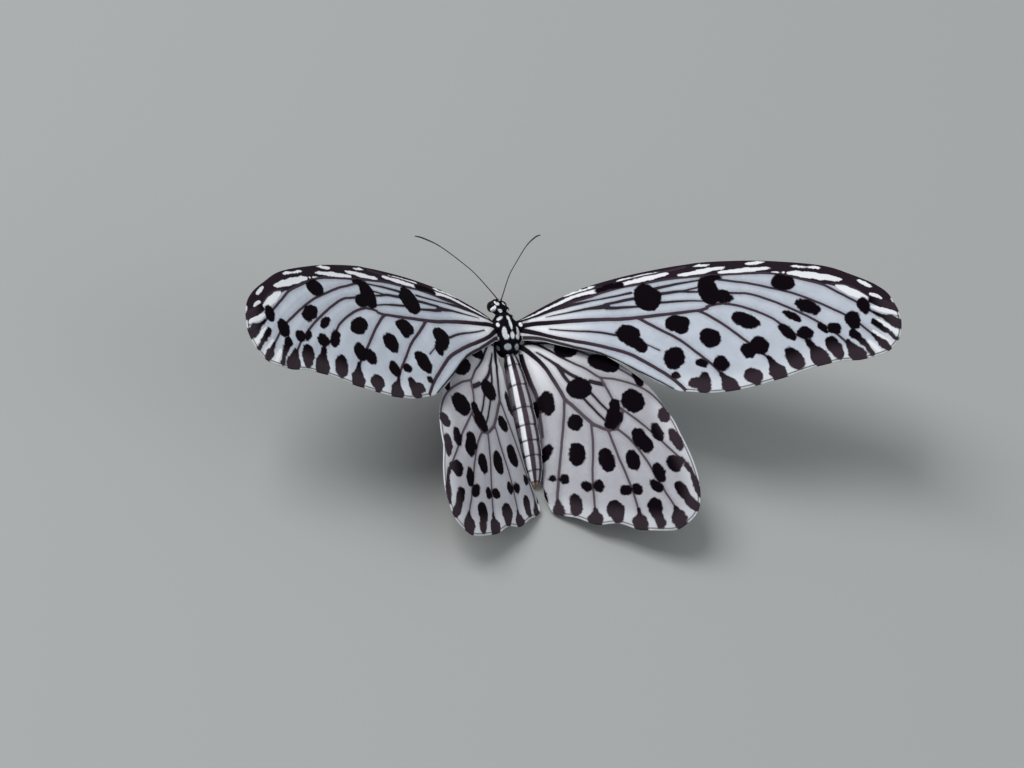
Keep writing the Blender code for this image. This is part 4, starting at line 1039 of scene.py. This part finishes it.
fore_finish = wing_finish("forewing scales", SCALE_CHALK, SCALE_SHADE, FORE_VEIN, 0.95, 0.5, True)
hind_finish = wing_finish("hindwing scales", HIND_CHALK, HIND_SHADE, HIND_VEIN, 0.75, 0.42, False)
for wing_name, wing, finish in (("forewing", FOREWING, fore_finish), ("hindwing", HINDWING, hind_finish)):
    rim, margin_start, margin_stop = wing_rim(wing, RIM_STEP)
    flat, triangles, crests = wing_sheet(wing, rim)
    marks = wing_marks(wing, flat, rim, margin_start, margin_stop)
    half = np.interp(measure(flat, rim)[0], [0.0, THIN_RIM], [RIM_HALF, BLADE_HALF])
    rise = np.zeros(len(flat))
    nearest = np.full(len(flat), 9.0)
    for crest in crests:
        away, along = measure(flat, crest)
        width = np.interp(along, [0, 1], VEIN_HALF_WIDTH)
        rise = np.maximum(rise, np.interp(along, [0, 1], VEIN_RISE) * (1 - (away / width) ** 2))
        nearest = np.minimum(nearest, away)
    half = half + rise
    sag = PLEAT_DEPTH * np.minimum(nearest / PLEAT_REACH, 1.0) ** 1.5
    middle = wing_surface(wing, flat)
    along_out = wing_surface(wing, flat + (NUDGE, 0)) - wing_surface(wing, flat - (NUDGE, 0))
    along_ahead = wing_surface(wing, flat + (0, NUDGE)) - wing_surface(wing, flat - (0, NUDGE))
    normal = np.cross(along_out, along_ahead)
    normal /= np.linalg.norm(normal, axis=1)[:, None]
    middle = middle - normal * sag[:, None]
    count = len(flat)
    edge_ways = np.vstack([triangles[:, [0, 1]], triangles[:, [1, 2]], triangles[:, [2, 0]]])
    _, where, uses = np.unique(np.sort(edge_ways, axis=1), axis=0, return_inverse=True, return_counts=True)
    open_edges = edge_ways[uses[where.ravel()] == 1]
    long_side = np.ptp(flat, axis=0).argmax()
    laid = (flat - flat.min(axis=0))[:, [long_side, 1 - long_side]]
    laid = laid * min((1.0 - 2 * BAKE_RIM) / laid[:, 0].max(), 0.47 / laid[:, 1].max()) + BAKE_RIM
    for side, word in SIDES:
        points = np.vstack([middle + normal * half[:, None], middle - normal * half[:, None]])
        points[:, 0] *= side
        upper = triangles[:, ::side]
        lower = triangles[:, ::-side] + count
        a, b = open_edges[:, ::side].T
        walls = np.stack([b, a, a + count, b + count], axis=-1)
        faces = [*upper.tolist(), *lower.tolist(), *walls.tolist()]
        blade = new_mesh_object(wing_name + "_blade_" + word, stand(points), faces, finish,
                                {mark: np.tile(amounts, 2) for mark, amounts in marks.items()})
        flat_walls = np.zeros(len(faces), dtype=bool)
        flat_walls[2 * len(triangles):] = True
        sharp = blade.data.attributes.new("sharp_face", "BOOLEAN", "FACE")
        sharp.data.foreach_set("value", flat_walls)
        add_bake_map(blade, np.vstack([laid[upper.ravel()], laid[lower.ravel() - count] + (0, 0.5),
                                       laid[walls.ravel() % count]]))
        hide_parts(wing_name + "_" + word)
        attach(blade, "root")
